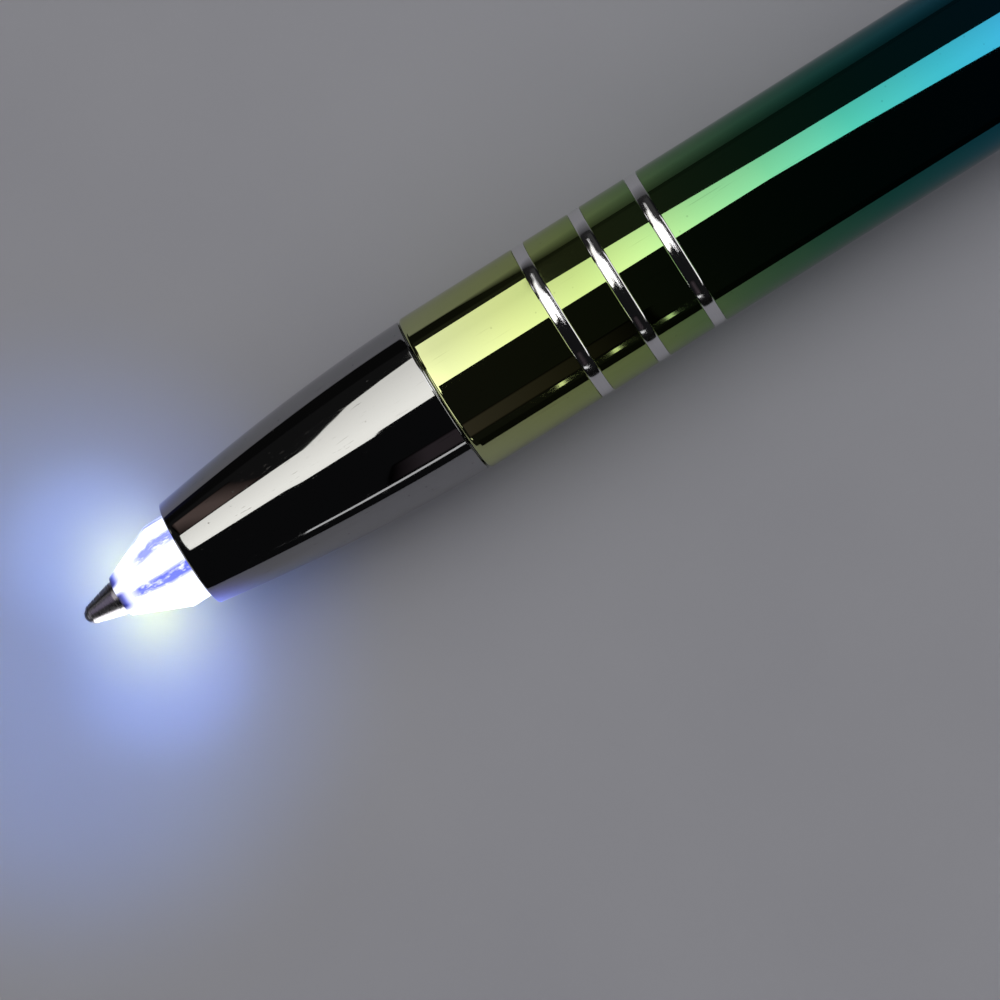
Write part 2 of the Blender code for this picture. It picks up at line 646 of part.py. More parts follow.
def guide_sleeve(body):
    """The fixed sleeve. Its straight slot lets the follower pin slide but not turn."""
    groove = GUIDE_RADIUS - SNAP_RING_GROOVE_DEPTH
    neck = CONTACT_TUBE_BORE_RADIUS
    outline = [
        (GUIDE_START, neck),
        (GUIDE_START, SEATED_RADIUS),
        (GUIDE_FLANGE_END, SEATED_RADIUS),
        (GUIDE_FLANGE_END, GUIDE_RADIUS),
        (SNAP_RING_FRONT - SEAT_GAP, GUIDE_RADIUS),
        (SNAP_RING_FRONT - SEAT_GAP, groove),
        (SNAP_RING_REAR + SEAT_GAP, groove),
        (SNAP_RING_REAR + SEAT_GAP, GUIDE_RADIUS),
        (GUIDE_END, GUIDE_RADIUS),
        (GUIDE_END, GUIDE_BORE_RADIUS),
        (GUIDE_STOP, GUIDE_BORE_RADIUS),
        (GUIDE_STOP, neck),
    ]
    sleeve = turned("guide_sleeve", outline, body, brass())
    half_slot = PIN_RADIUS + GUIDE_SLOT_PLAY
    length = RETRACT_TRAVEL + 2 * half_slot
    slot = box(
        "guide_slot",
        (length, 2 * half_slot, 2 * GUIDE_RADIUS),
        (PIN_STATION + RETRACT_TRAVEL / 2, 0, GUIDE_RADIUS),
        body,
        brass(),
    )
    combine(sleeve, slot, "DIFFERENCE")
    return sleeve


def cam_slot(body):
    """The helical cutter. It falls back along the pen by the retract travel in one twist."""
    inner, outer = GUIDE_RADIUS / 2, BARREL_RADIUS
    slope = math.atan2(RETRACT_TRAVEL, TWIST_ANGLE * CAM_BORE_RADIUS)
    half = (PIN_RADIUS + CAM_SLOT_PLAY) / math.cos(slope)
    sweep = TWIST_ANGLE + 2 * SLOT_END_ANGLE
    lead = RETRACT_TRAVEL * sweep / TWIST_ANGLE
    start = PIN_STATION - RETRACT_TRAVEL * SLOT_END_ANGLE / TWIST_ANGLE
    bm = bmesh.new()
    corners = [(-half, inner), (half, inner), (half, outer), (-half, outer)]
    section = bm.faces.new([bm.verts.new((start + s, 0, r)) for s, r in corners])
    bmesh.ops.rotate(bm, cent=(0, 0, 0), matrix=Matrix.Rotation(SLOT_END_ANGLE, 3, "X"), verts=bm.verts)
    bmesh.ops.spin(
        bm,
        geom=list(section.verts) + list(section.edges) + [section],
        cent=(0, 0, 0),
        axis=(1, 0, 0),
        dvec=(lead / CAM_SLOT_STEPS, 0, 0),
        angle=-sweep,
        steps=CAM_SLOT_STEPS,
    )
    return add_object("cam_slot", mesh_from(bm, "cam_slot"), body, brass())


def cam_sleeve(body):
    """The driven sleeve. Its helical slot carries the follower pin back as the upper barrel turns."""
    outline = [
        (CAM_START, CAM_BORE_RADIUS),
        (CAM_START, CAM_RADIUS),
        (CAM_DRUM_START, CAM_RADIUS),
        (CAM_DRUM_START, SEATED_RADIUS),
        (CAM_END, SEATED_RADIUS),
        (CAM_END, CAM_BORE_RADIUS),
    ]
    sleeve = turned("cam_sleeve", outline, body, white_plastic())
    combine(sleeve, cam_slot(body), "DIFFERENCE")
    return sleeve


def snap_ring(body):
    """The open spring ring that keeps the cam sleeve on the guide sleeve."""
    inner = GUIDE_RADIUS - SNAP_RING_GROOVE_DEPTH + PRESS_GAP
    outer = inner + SNAP_RING_WIDTH
    outline = [
        (SNAP_RING_FRONT, inner),
        (SNAP_RING_FRONT, outer),
        (SNAP_RING_REAR, outer),
        (SNAP_RING_REAR, inner),
    ]
    return turned("snap_ring", outline, body, steel(), sweep=SNAP_RING_SWEEP)


def refill_carrier(body):
    socket = REFILL_RADIUS + PRESS_GAP
    bottom = REFILL_LENGTH + SEAT_GAP
    outline = [
        (bottom, 0),
        (bottom, socket),
        (CARRIER_FRONT, socket),
        (CARRIER_FRONT, CARRIER_RADIUS),
        (CARRIER_REAR, CARRIER_RADIUS),
        (CARRIER_REAR, 0),
    ]
    carrier = turned("refill_carrier", outline, body, white_plastic())
    hole = pin("pin_hole", PIN_RADIUS + PRESS_GAP, PIN_ROOT - SEAT_GAP, 2 * CARRIER_RADIUS, body)
    combine(carrier, hole, "DIFFERENCE")
    return carrier


def pin(name, radius, foot, head, body):
    """A radial pin of the follower, from its foot to its head, measured from the axis."""
    bm = bmesh.new()
    bmesh.ops.create_cone(
        bm,
        cap_ends=True,
        segments=INNER_SEGMENTS,
        radius1=radius,
        radius2=radius,
        depth=head - foot,
    )
    bmesh.ops.translate(bm, vec=(PIN_STATION, 0, (head + foot) / 2), verts=bm.verts)
    return add_object(name, mesh_from(bm, name), body, steel())


def follower_pin(body):
    head = CAM_RADIUS - TURN_GAP
    return pin("follower_pin", PIN_RADIUS, PIN_ROOT, head, body)


# Refill


def refill_nib(body):
    """The point of the refill: a lip crimped round the ball, an ink channel and a pressed shank."""
    socket = BALL_RADIUS + BALL_GAP
    lip = BALL_RADIUS - math.sqrt(socket**2 - NIB_LIP_RADIUS**2)
    lip_angle = math.degrees(math.atan2(NIB_LIP_RADIUS, lip - BALL_RADIUS))
    throat_angle = math.degrees(math.asin(INK_CHANNEL_RADIUS / socket))
    lip_outer = NIB_LIP_RADIUS + NIB_LIP_WALL
    cone_end = lip + (NIB_RADIUS - lip_outer) / math.tan(NIB_HALF_ANGLE)
    shank_radius = REFILL_RADIUS - REFILL_WALL - PRESS_GAP
    shank_end = NIB_LENGTH + NIB_SHANK_LENGTH
    seat = arc(BALL_RADIUS, 0, socket, throat_angle, lip_angle, 2 * ARC_STEPS)
    outline = seat + [
        (lip, lip_outer),
        (cone_end, NIB_RADIUS),
        (NIB_LENGTH, NIB_RADIUS),
        (NIB_LENGTH, shank_radius),
        (shank_end, shank_radius),
        (shank_end, INK_CHANNEL_RADIUS),
    ]
    return turned("refill_nib", outline, body, steel())


def refill_tube(body):
    start = NIB_LENGTH + SEAT_GAP
    outline = [
        (start, REFILL_RADIUS - REFILL_WALL),
        (start, REFILL_RADIUS),
        (REFILL_LENGTH, REFILL_RADIUS),
        (REFILL_LENGTH, REFILL_RADIUS - REFILL_WALL),
    ]
    return turned("refill_tube", outline, body, brass())


def writing_ball(body):
    bm = bmesh.new()
    bmesh.ops.create_icosphere(bm, subdivisions=2, radius=BALL_RADIUS)
    bmesh.ops.rotate(bm, cent=(0, 0, 0), matrix=Matrix.Rotation(math.pi / 2, 3, "Y"), verts=bm.verts)
    bmesh.ops.translate(bm, vec=(BALL_RADIUS, 0, 0), verts=bm.verts)
    return add_object("writing_ball", mesh_from(bm, "writing_ball"), body, steel())


# Upper barrel, battery and switch


def centre_band(body):
    """The bright ring between the barrels. It is the bearing that the twist turns on."""
    front = arc(BAND_START + BAND_ROUND, BARREL_RADIUS - BAND_ROUND, BAND_ROUND, 180, 90)
    rear = arc(BAND_END - BAND_ROUND, BARREL_RADIUS - BAND_ROUND, BAND_ROUND, 90, 0)
    outline = [
        (BAND_START - BAND_BEARING_LENGTH, BAND_BORE_RADIUS),
        (BAND_START - BAND_BEARING_LENGTH, BAND_BEARING_RADIUS),
        (BAND_START, BAND_BEARING_RADIUS),
        *front,
        *rear,
        (BAND_END, SEATED_RADIUS),
        (BAND_END + BAND_SPIGOT_LENGTH, SEATED_RADIUS),
        (BAND_END + BAND_SPIGOT_LENGTH, BAND_BORE_RADIUS),
    ]
    return turned("centre_band", outline, body, chrome(), SHELL_SEGMENTS)


def upper_barrel(body):
    front = arc(UPPER_START + BARREL_END_ROUND, BARREL_RADIUS - BARREL_END_ROUND, BARREL_END_ROUND, 180, 90)
    rear = arc(UPPER_END - BARREL_END_ROUND, BARREL_RADIUS - BARREL_END_ROUND, BARREL_END_ROUND, 90, 0)
    bore = [(UPPER_END, BORE_RADIUS), (UPPER_START, BORE_RADIUS)]
    return turned("upper_barrel", front + rear + bore, body, rainbow_coat(), SHELL_SEGMENTS)


def battery_sleeve(body):
    bore = CELL_RADIUS + TURN_GAP
    lip = CELL_RADIUS - BATTERY_LIP_WIDTH
    outline = [
        (SLEEVE_START, bore),
        (SLEEVE_START, SEATED_RADIUS),
        (SLEEVE_END, SEATED_RADIUS),
        (SLEEVE_END, bore),
        (SLEEVE_LIP_END, bore),
        (SLEEVE_LIP_END, lip),
        (SLEEVE_LIP_START, lip),
        (SLEEVE_LIP_START, bore),
    ]
    return turned("battery_sleeve", outline, body, white_plastic())


def button_cell(index, body):
    """A button cell: a can with a smaller cap standing out of its front."""
    front = CELLS_START + index * CELL_STEP
    can_front = front + CELL_CAP_HEIGHT
    rear = front + CELL_HEIGHT
    edge = CELL_RADIUS - CELL_EDGE_CHAMFER
    cap = CELL_RADIUS - CELL_CAP_STEP
    outline = [
        (front, 0),
        (front, cap),
        (can_front, cap),
        (can_front, edge),
        (can_front + CELL_EDGE_CHAMFER, CELL_RADIUS),
        (rear - CELL_EDGE_CHAMFER, CELL_RADIUS),
        (rear, edge),
        (rear, 0),
    ]
    return turned(f"button_cell_{index + 1}", outline, body, steel())


def contact_disc(body):
    """The brass disc behind the cells, with a stud that the pressed plunger meets in the switch."""
    outline = [
        (CELLS_END, 0),
        (CELLS_END, CELL_RADIUS),
        (DISC_END, CELL_RADIUS),
        (DISC_END, CONTACT_STUD_RADIUS),
        (STUD_END, CONTACT_STUD_RADIUS),
        (STUD_END, 0),
    ]
    return turned("contact_disc", outline, body, brass())


def switch_housing(body):
    hole = CONTACT_STUD_RADIUS + PRESS_GAP
    outline = [
        (SWITCH_START, hole),
        (SWITCH_START, SEATED_RADIUS),
        (SWITCH_END, SEATED_RADIUS),
        (SWITCH_END, SWITCH_BORE_RADIUS),
        (SWITCH_BORE_START, SWITCH_BORE_RADIUS),
        (SWITCH_BORE_START, hole),
    ]
    return turned("switch_housing", outline, body, black_plastic())


# Clip and top collar


def clip_path():
    """The clip's side view as (station, height) points along the middle of the strip."""
    root = CLIP_START + CLIP_BAND_LENGTH / 2
    foot = math.sqrt(BARREL_RADIUS**2 - CLIP_ROOT_WIDTH**2 / 4) - BARREL_WALL / 2
    end = CLIP_END - CLIP_LENGTH
    half = CLIP_THICKNESS / 2
    flat = BARREL_RADIUS + CLIP_GAP + half
    bead_height = BARREL_RADIUS + CLIP_BEAD_GAP + half
    bead_station = end + CLIP_BEAD_FROM_END
    bend = arc(root - CLIP_BEND_RADIUS, flat - CLIP_BEND_RADIUS, CLIP_BEND_RADIUS, 0, 90)
    dip_steps = 2 * ARC_STEPS
    dip = []
    for i in range(dip_steps + 1):
        share = i / dip_steps
        drop = (1 - math.cos(math.pi * share)) / 2
        dip.append((bead_station + CLIP_DIP_LENGTH * (1 - share), flat + (bead_height - flat) * drop))
    flick = []
    for i in range(1, ARC_STEPS + 1):
        share = i / ARC_STEPS
        flick.append((bead_station - CLIP_BEAD_FROM_END * share, bead_height + CLIP_FLICK * share**2))
    return [(root, foot), *bend, *dip, *flick]


def clip(body):
    """A stamped spring strip, bent out of a band that the top collar holds on the barrel."""
    path = clip_path()
    bm = bmesh.new()
    side = [bm.verts.new((station, -0.5, height)) for station, height in path]
    edges = [bm.edges.new(pair) for pair in zip(side, side[1:])]
    across = bmesh.ops.extrude_edge_only(bm, edges=edges)["geom"]
    far_side = [v for v in across if isinstance(v, bmesh.types.BMVert)]
    bmesh.ops.translate(bm, vec=(0, 1, 0), verts=far_side)
    first, last = path[0][0], path[-1][0]
    for vert in bm.verts:
        share = (first - vert.co.x) / (first - last)
        vert.co.y *= CLIP_ROOT_WIDTH + (CLIP_END_WIDTH - CLIP_ROOT_WIDTH) * share
    obj = add_object("clip", mesh_from(bm, "clip"), body, chrome())
    wall = obj.modifiers.new("thickness", "SOLIDIFY")
    wall.thickness = CLIP_THICKNESS
    wall.offset = 0.0
    wall.use_even_offset = True
    edge = obj.modifiers.new("edges", "BEVEL")
    edge.width = CLIP_EDGE_ROUND
    edge.segments = 2
    edge.limit_method = "ANGLE"
    disc = [(CLIP_START, 0), (CLIP_START, BARREL_RADIUS), (CLIP_END, BARREL_RADIUS), (CLIP_END, 0)]
    combine(obj, turned("clip_band", disc, body, chrome(), SHELL_SEGMENTS), "UNION")
    start, end = CLIP_START - CLIP_BAND_LENGTH, CLIP_END + CLIP_BAND_LENGTH
    bore = [(start, 0), (start, BORE_RADIUS), (end, BORE_RADIUS), (end, 0)]
    combine(obj, turned("clip_bore", bore, body, chrome(), SHELL_SEGMENTS), "DIFFERENCE")
    return obj


def top_collar(body):
    """The bright end piece: its spigot holds the clip's band and stops the stylus holder."""
    taper_start = COLLAR_START + COLLAR_STRAIGHT
    outline = [
        (COLLAR_SPIGOT_START, COLLAR_BORE_RADIUS),
        (COLLAR_SPIGOT_START, SEATED_RADIUS),
        (COLLAR_START, SEATED_RADIUS),
        *arc(COLLAR_START + COLLAR_ROUND, BARREL_RADIUS - COLLAR_ROUND, COLLAR_ROUND, 180, 90),
        (taper_start, BARREL_RADIUS),
        *arc(COLLAR_END - COLLAR_ROUND, COLLAR_END_RADIUS - COLLAR_ROUND, COLLAR_ROUND, 75, 0),
        (COLLAR_END, COLLAR_BORE_RADIUS),
    ]
    return turned("top_collar", outline, body, chrome(), SHELL_SEGMENTS)


# Stylus button


def switch_plunger(body):
    outline = [
        (PLUNGER_START, 0),
        (PLUNGER_START, PLUNGER_RADIUS),
        (PLUNGER_END, PLUNGER_RADIUS),
        (PLUNGER_END, 0),
    ]
    return turned("switch_plunger", outline, body, brass())


def stylus_holder(body):
    """The sliding stem: a socket for the plunger, a stop flange and a barbed stub for the stylus."""
    socket_end = PLUNGER_END + SEAT_GAP
    barb_start = STYLUS_START + STUB_LENGTH / 2
    stub_end = STYLUS_START + STUB_LENGTH
    outline = [
        (socket_end, 0),
        (socket_end, HOLDER_SOCKET_RADIUS),
        (HOLDER_START, HOLDER_SOCKET_RADIUS),
        (HOLDER_START, HOLDER_NECK_RADIUS),
        (HOLDER_FLANGE_START, HOLDER_NECK_RADIUS),
        (HOLDER_FLANGE_START, HOLDER_FLANGE_RADIUS),
        (HOLDER_FLANGE_END, HOLDER_FLANGE_RADIUS),
        (HOLDER_FLANGE_END, HOLDER_RADIUS),
        (STYLUS_START, HOLDER_RADIUS),
        (STYLUS_START, STUB_RADIUS),
        (barb_start, STUB_RADIUS),
        (barb_start, STUB_RADIUS + STUB_BARB),
        (stub_end, STUB_RADIUS),
        (stub_end, 0),
    ]
    return turned("stylus_holder", outline, body, chrome(), SHELL_SEGMENTS)


def stylus_tip(body):
    """The hollow dome of conductive rubber, stretched over the barbed stub."""
    start = STYLUS_START + SEAT_GAP
    skirt_end = STYLUS_START + STYLUS_SKIRT_LENGTH
    stub_bore = STUB_RADIUS + STUB_BARB + TURN_GAP
    hollow = STYLUS_RADIUS - STYLUS_WALL
    skirt = arc(start + STYLUS_SKIRT_ROUND, STYLUS_RADIUS - STYLUS_SKIRT_ROUND, STYLUS_SKIRT_ROUND, 180, 90)
    dome = arc(skirt_end, 0, STYLUS_RADIUS, 90, 0, 2 * ARC_STEPS)
    inside = arc(skirt_end, 0, hollow, 0, 90)
    dome[-1] = (STYLUS_END, 0)
    inside[0] = (skirt_end + hollow, 0)
    outline = inside + [(skirt_end, stub_bore), (start, stub_bore)] + skirt + dome
    return turned("stylus_tip", outline, body, black_rubber(), SHELL_SEGMENTS)


# Assembly


def world_points(pieces):
    """Every corner of the finished pieces, as an array of world positions."""
    graph = bpy.context.evaluated_depsgraph_get()
    points = []
    for piece in pieces:
        shape = piece.evaluated_get(graph)
        mesh = shape.to_mesh()
        points += [shape.matrix_world @ vert.co for vert in mesh.vertices]
        shape.to_mesh_clear()
    return np.array(points)


def lay_on_table(pen, pieces, clip_piece):
    """Rolls the pen until its clip meets the table, and centres its footprint on the origin."""
    bpy.context.view_layer.update()
    blade = world_points([clip_piece])
    reach = np.hypot(blade[:, 1], blade[:, 2])
    proud = reach > BARREL_RADIUS + CLIP_BEAD_GAP / 2
    aside = np.arctan2(np.abs(blade[proud, 1]), blade[proud, 2])
    rest = np.arccos(BARREL_RADIUS / reach[proud]) + aside
    pen.rotation_euler.x = math.pi - rest.max()
    bpy.context.view_layer.update()
    corners = world_points(pieces)
    low, high = corners.min(axis=0), corners.max(axis=0)
    pen.location = (-(low[0] + high[0]) / 2, -(low[1] + high[1]) / 2, -low[2])
    bpy.context.view_layer.update()
    print("axis at", [round(x / MM, 4) for x in pen.location], "mm, roll", math.degrees(pen.rotation_euler.x))


def main():
    clear_scene()
    pen = frame("pen", 0)
    twist = frame("twist_axis", LOWER_END, pen)
    slide = frame("refill_slide", PIN_STATION, pen)
    rolling = frame("ball_centre", BALL_RADIUS, slide)
    press = frame("button_slide", COLLAR_END, twist)
    clip_piece = clip(twist)
    pieces = [
        nose_cone(pen),
        light_tip(pen),
        lower_barrel(pen),
        led_board(pen),
        *[led(i, pen) for i in range(LED_COUNT)],
        board_resistor(pen),
        board_retainer(pen),
        coil(
            "contact_spring",
            CONTACT_SPRING_RADIUS,
            CONTACT_SPRING_WIRE,
            CONTACT_SPRING_START,
            CONTACT_SPRING_LENGTH,
            CONTACT_SPRING_TURNS,
            pen,
        ),
        contact_tube(pen),
        insulating_sleeve(pen),
        guide_sleeve(pen),
        snap_ring(pen),
        refill_carrier(slide),
        follower_pin(slide),
        refill_nib(slide),
        refill_tube(slide),
        writing_ball(rolling),
        centre_band(twist),
        upper_barrel(twist),
        cam_sleeve(twist),
        coil(
            "battery_spring",
            BATTERY_SPRING_RADIUS,
            BATTERY_SPRING_WIRE,
            BATTERY_SPRING_START,
            BATTERY_SPRING_LENGTH,
            BATTERY_SPRING_TURNS,
            twist,
        ),
        battery_sleeve(twist),
        *[button_cell(i, twist) for i in range(CELL_COUNT)],
        contact_disc(twist),
        switch_housing(twist),
        clip_piece,
        top_collar(twist),
        coil(
            "button_spring",
            BUTTON_SPRING_RADIUS,
            BUTTON_SPRING_WIRE,
            BUTTON_SPRING_START,
            BUTTON_SPRING_LENGTH,
            BUTTON_SPRING_TURNS,
            twist,
        ),
        switch_plunger(press),
        stylus_holder(press),
        stylus_tip(press),
    ]
    lay_on_table(pen, pieces, clip_piece)


main()
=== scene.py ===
"""The looks of a stylus ballpoint pen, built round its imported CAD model.

Stations are millimetres along the pen from the end of its writing ball, and radii are millimetres from
the pen's axis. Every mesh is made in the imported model's own place, in metres.
"""

import math

import bmesh
import bpy
from mathutils import Matrix, Vector


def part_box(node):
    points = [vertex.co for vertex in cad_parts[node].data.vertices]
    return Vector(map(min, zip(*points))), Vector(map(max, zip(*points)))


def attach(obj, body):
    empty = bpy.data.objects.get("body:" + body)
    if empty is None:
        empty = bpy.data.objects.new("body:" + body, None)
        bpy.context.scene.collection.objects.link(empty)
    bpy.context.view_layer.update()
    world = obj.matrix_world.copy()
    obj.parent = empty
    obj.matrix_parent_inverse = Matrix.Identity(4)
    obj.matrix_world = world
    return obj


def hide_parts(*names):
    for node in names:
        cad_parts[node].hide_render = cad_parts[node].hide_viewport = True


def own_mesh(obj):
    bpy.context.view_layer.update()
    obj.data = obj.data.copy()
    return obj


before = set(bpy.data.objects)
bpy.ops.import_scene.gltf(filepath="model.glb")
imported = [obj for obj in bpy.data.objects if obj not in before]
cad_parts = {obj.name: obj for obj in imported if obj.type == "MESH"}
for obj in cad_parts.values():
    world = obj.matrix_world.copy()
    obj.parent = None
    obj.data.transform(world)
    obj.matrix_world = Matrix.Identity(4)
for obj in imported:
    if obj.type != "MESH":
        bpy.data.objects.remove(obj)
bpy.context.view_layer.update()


# Writing ball
# A ground ball of tungsten carbide, one millimetre across. It sits in the nib's crimped lip, where it
# turns in its own ink, so it is dark and only half bright.

MM = 0.001
MERGED = 1e-3 * MM
SHARP_EDGE = math.radians(32)
BALL_RADIUS = 0.5

ball_low, ball_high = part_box("writing_ball")
PEN_FRONT = ball_low.x
AXIS = (ball_low + ball_high) / 2


def place(station, radius, turn=0.0):
    """A point in the model: a station along the pen, a radius, and a turn round the axis from straight up."""
    side, up = -radius * math.sin(turn), radius * math.cos(turn)
    return Vector((PEN_FRONT + station * MM, AXIS.y + side * MM, AXIS.z + up * MM))


def in_scene(name, data):
    """Puts a mesh, a lamp or a camera in the scene as an object."""
    held = bpy.data.objects.new(name, data)
    bpy.context.scene.collection.objects.link(held)
    return held


def as_object(name, bm):
    """Turns a bmesh into an object in the scene."""
    mesh = bpy.data.meshes.new(name)
    bm.to_mesh(mesh)
    bm.free()
    return in_scene(name, mesh)


def finished(name, bm, material, body, slot, *nodes):
    """Makes a piece from a closed bmesh, rides it on its body and lets it stand for its CAD nodes."""
    bmesh.ops.remove_doubles(bm, verts=bm.verts, dist=MERGED)
    bmesh.ops.recalc_face_normals(bm, faces=bm.faces)
    piece = as_object(name, bm)
    piece.data.shade_smooth()
    piece.data.set_sharp_from_angle(angle=SHARP_EDGE)
    piece.data.materials.append(material)
    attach(piece, body)
    if nodes:
        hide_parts(*nodes)
    return piece


def fill(socket, value):
    """Gives a node's input a plain value, or links another node's output to it."""
    if isinstance(value, bpy.types.NodeSocket):
        socket.id_data.links.new(value, socket)
    else:
        socket.default_value = value


def feed(node, **values):
    """Fills a node's inputs by their names."""
    for key, value in values.items():
        fill(node.inputs[key.replace("_", " ")], value)


def new_finish(name, **values):
    """A material, its node tree and its Principled shader, with the values that are the same all over it."""
    material = bpy.data.materials.new(name)
    material.use_nodes = True
    shader = material.node_tree.nodes["Principled BSDF"]
    feed(shader, **values)
    return material, material.node_tree, shader


def add(tree, kind, **settings):
    """A shader node. A setting in capitals is one of its inputs, and any other is its own property."""
    node = tree.nodes.new("ShaderNode" + kind)
    for key, value in settings.items():
        if key[0].isupper():
            feed(node, **{key: value})
        else:
            setattr(node, key, value)
    return node


def own_place(tree):
    """The surface's own place on the piece, which every pattern here is drawn on."""
    return add(tree, "TexCoord").outputs["Object"]


def noise(where, scale, detail, roughness=0.5):
    """A cloudy pattern from 0 to 1, at a scale per metre."""
    settings = {"Vector": where, "Scale": scale, "Detail": detail, "Roughness": roughness}
    return add(where.id_data, "TexNoise", **settings).outputs["Fac"]


def spread(value, low, high, to_low=0.0, to_high=1.0):
    """Maps a value from one range to another, held at both ends."""
    ends = {"From_Min": low, "From_Max": high, "To_Min": to_low, "To_Max": to_high}
    return add(value.id_data, "MapRange", Value=value, **ends).outputs["Result"]


def blend_colours(share, first, second, kind="MIX"):
    """Mixes two colours, each given as a socket or as numbers, by a share."""
    node = add(share.id_data, "Mix", data_type="RGBA", blend_type=kind, Factor=share)
    for socket, colour in zip(node.inputs[6:8], (first, second)):
        fill(socket, (*colour, 1.0) if isinstance(colour, tuple) else colour)
    return node.outputs[2]


carbide, tree, shader = new_finish("ground_carbide", Metallic=1.0)
ink_film = spread(noise(own_place(tree), 3200.0, 3.0), 0.4, 0.62)
feed(
    shader,
    Base_Color=blend_colours(ink_film, (0.2, 0.2, 0.22), (0.05, 0.05, 0.1)),
    Roughness=spread(ink_film, 0.0, 1.0, 0.14, 0.3),
)

bm = bmesh.new()
bmesh.ops.create_icosphere(bm, subdivisions=4, radius=BALL_RADIUS * MM)
bmesh.ops.translate(bm, vec=place(BALL_RADIUS, 0), verts=bm.verts)
ball = finished("ball", bm, carbide, "ball", "nib_steel", "writing_ball")


# Nib
# The refill's point, turned from nickel silver rod: a lip crimped over the ball, a cone, a straight
# land and a shank that is pressed into the tube. The turning tool leaves fine rings on it.

NIB_SEGMENTS, INNER_SEGMENTS = 64, 72
NOISE_RANGE = 0.3, 0.7
CUP_GAP, CUP_REAR_ANGLE, CUP_FRONT_ANGLE = 0.03, 24.5, 112.3
CRIMP_CENTRE, CRIMP_ROUND, CRIMP_ANGLE, CONE_ANGLE = (0.5175, 0.2941), 0.3, 136.7, 103
CONE_END, CONE_ROUND = 2.207, 0.55
NIB_RADIUS, NIB_LAND_END = 1.05, 9.0
NIB_SHANK_RADIUS, NIB_SHANK_END = 0.825, 12.0
INK_CHANNEL_RADIUS = 0.22


def rounding(station, radius, size, start, end, steps=6):
    """Outline points round a corner: its centre, its size, and its angles in degrees from the rear."""
    angles = [math.radians(start + (end - start) * i / steps) for i in range(steps + 1)]
    return [(station + size * math.cos(a), radius + size * math.sin(a)) for a in angles]


def break_edges(bm, size):
    """Rounds off every sharp edge of a closed shape by a size in millimetres."""
    bmesh.ops.recalc_face_normals(bm, faces=bm.faces)
    sharp = [e for e in bm.edges if len(e.link_faces) == 2 and e.calc_face_angle() > SHARP_EDGE]
    bmesh.ops.bevel(
        bm, geom=sharp, offset=size * MM, offset_type="OFFSET", affect="EDGES", segments=3, profile=0.5,
        material=-1, clamp_overlap=True,
    )


def turned(*outline, segments=INNER_SEGMENTS, edge=0.0, sweep=2 * math.pi):
    """A bmesh turned on the pen's axis, with its edges broken.

    Its outline is lists of points, each (station, radius), and steps, each a station and the radius from
    there on. A step starts at the radius before it, and the first one at the outline's last radius.
    """
    last = outline[-1]
    points, radius = [], last[1] if isinstance(last, tuple) else last[-1][1]
    for part in outline:
        points += [(part[0], radius), part] if isinstance(part, tuple) else part
        radius = points[-1][1]
    bm = bmesh.new()
    verts = [bm.verts.new(place(*point)) for point in points]
    geom = verts + [bm.edges.new(pair) for pair in zip(verts, verts[1:])]
    if points[0][1] > 0:
        geom.append(bm.edges.new((verts[-1], verts[0])))
    whole = sweep == 2 * math.pi
    if not whole:
        geom.append(bm.faces.new(verts))
    bmesh.ops.spin(bm, geom=geom, cent=AXIS, axis=(1, 0, 0), angle=sweep, steps=segments, use_merge=whole)
    bmesh.ops.remove_doubles(bm, verts=bm.verts, dist=MERGED / 10)
    if edge:
        break_edges(bm, edge)
    return bm


def raise_surface(shader, height, depth):
    """Feeds a height from 0 to 1 to the shader's normal, at a depth in millimetres."""
    bump = add(shader.id_data, "Bump", Strength=1.0, Distance=depth * MM, Height=height)
    feed(shader, Normal=bump.outputs["Normal"])


def new_group(name, inputs, outputs):
    """A shader node group with a Vector input, named number inputs and number outputs."""
    group = bpy.data.node_groups.new(name, "ShaderNodeTree")
    group.interface.new_socket("Vector", in_out="INPUT", socket_type="NodeSocketVector")
    for socket in inputs:
        group.interface.new_socket(socket, in_out="INPUT", socket_type="NodeSocketFloat")
    for socket in outputs:
        group.interface.new_socket(socket, in_out="OUTPUT", socket_type="NodeSocketFloat")
    return group, group.nodes.new("NodeGroupInput").outputs, group.nodes.new("NodeGroupOutput")


def use_group(tree, group, **values):
    """Places a group in a material, on the surface's own place, and gives its outputs."""
    return add(tree, "Group", node_tree=group, Vector=own_place(tree), **values).outputs


def apart(vector):
    """A vector's X, Y and Z."""
    return add(vector.id_data, "SeparateXYZ", Vector=vector).outputs


turning_rings, given, result = new_group("turning_rings", ["Rings per metre"], ["Rings"])
ring_noise = add(turning_rings, "TexNoise", noise_dimensions="1D", Detail=3.0, Roughness=0.6)
feed(ring_noise, W=apart(given["Vector"])["X"], Scale=given["Rings per metre"])
feed(result, Rings=spread(ring_noise.outputs["Fac"], *NOISE_RANGE))


def turned_metal(name, rings_per_metre, dark, bright, smooth, rough, depth):
    """Bare metal off the lathe: the tool's rings show in its colour, its gloss and its surface."""
    material, tree, shader = new_finish(name, Metallic=1.0)
    rings = use_group(tree, turning_rings, Rings_per_metre=rings_per_metre)["Rings"]
    feed(shader, Base_Color=blend_colours(rings, dark, bright))
    feed(shader, Roughness=spread(rings, 0.0, 1.0, smooth, rough))
    raise_surface(shader, rings, depth)
    return material, shader


nickel_silver, _ = turned_metal(
    "nickel_silver", 9000.0, (0.165, 0.16, 0.17), (0.18, 0.172, 0.182), 0.26, 0.28, 0.00003
)

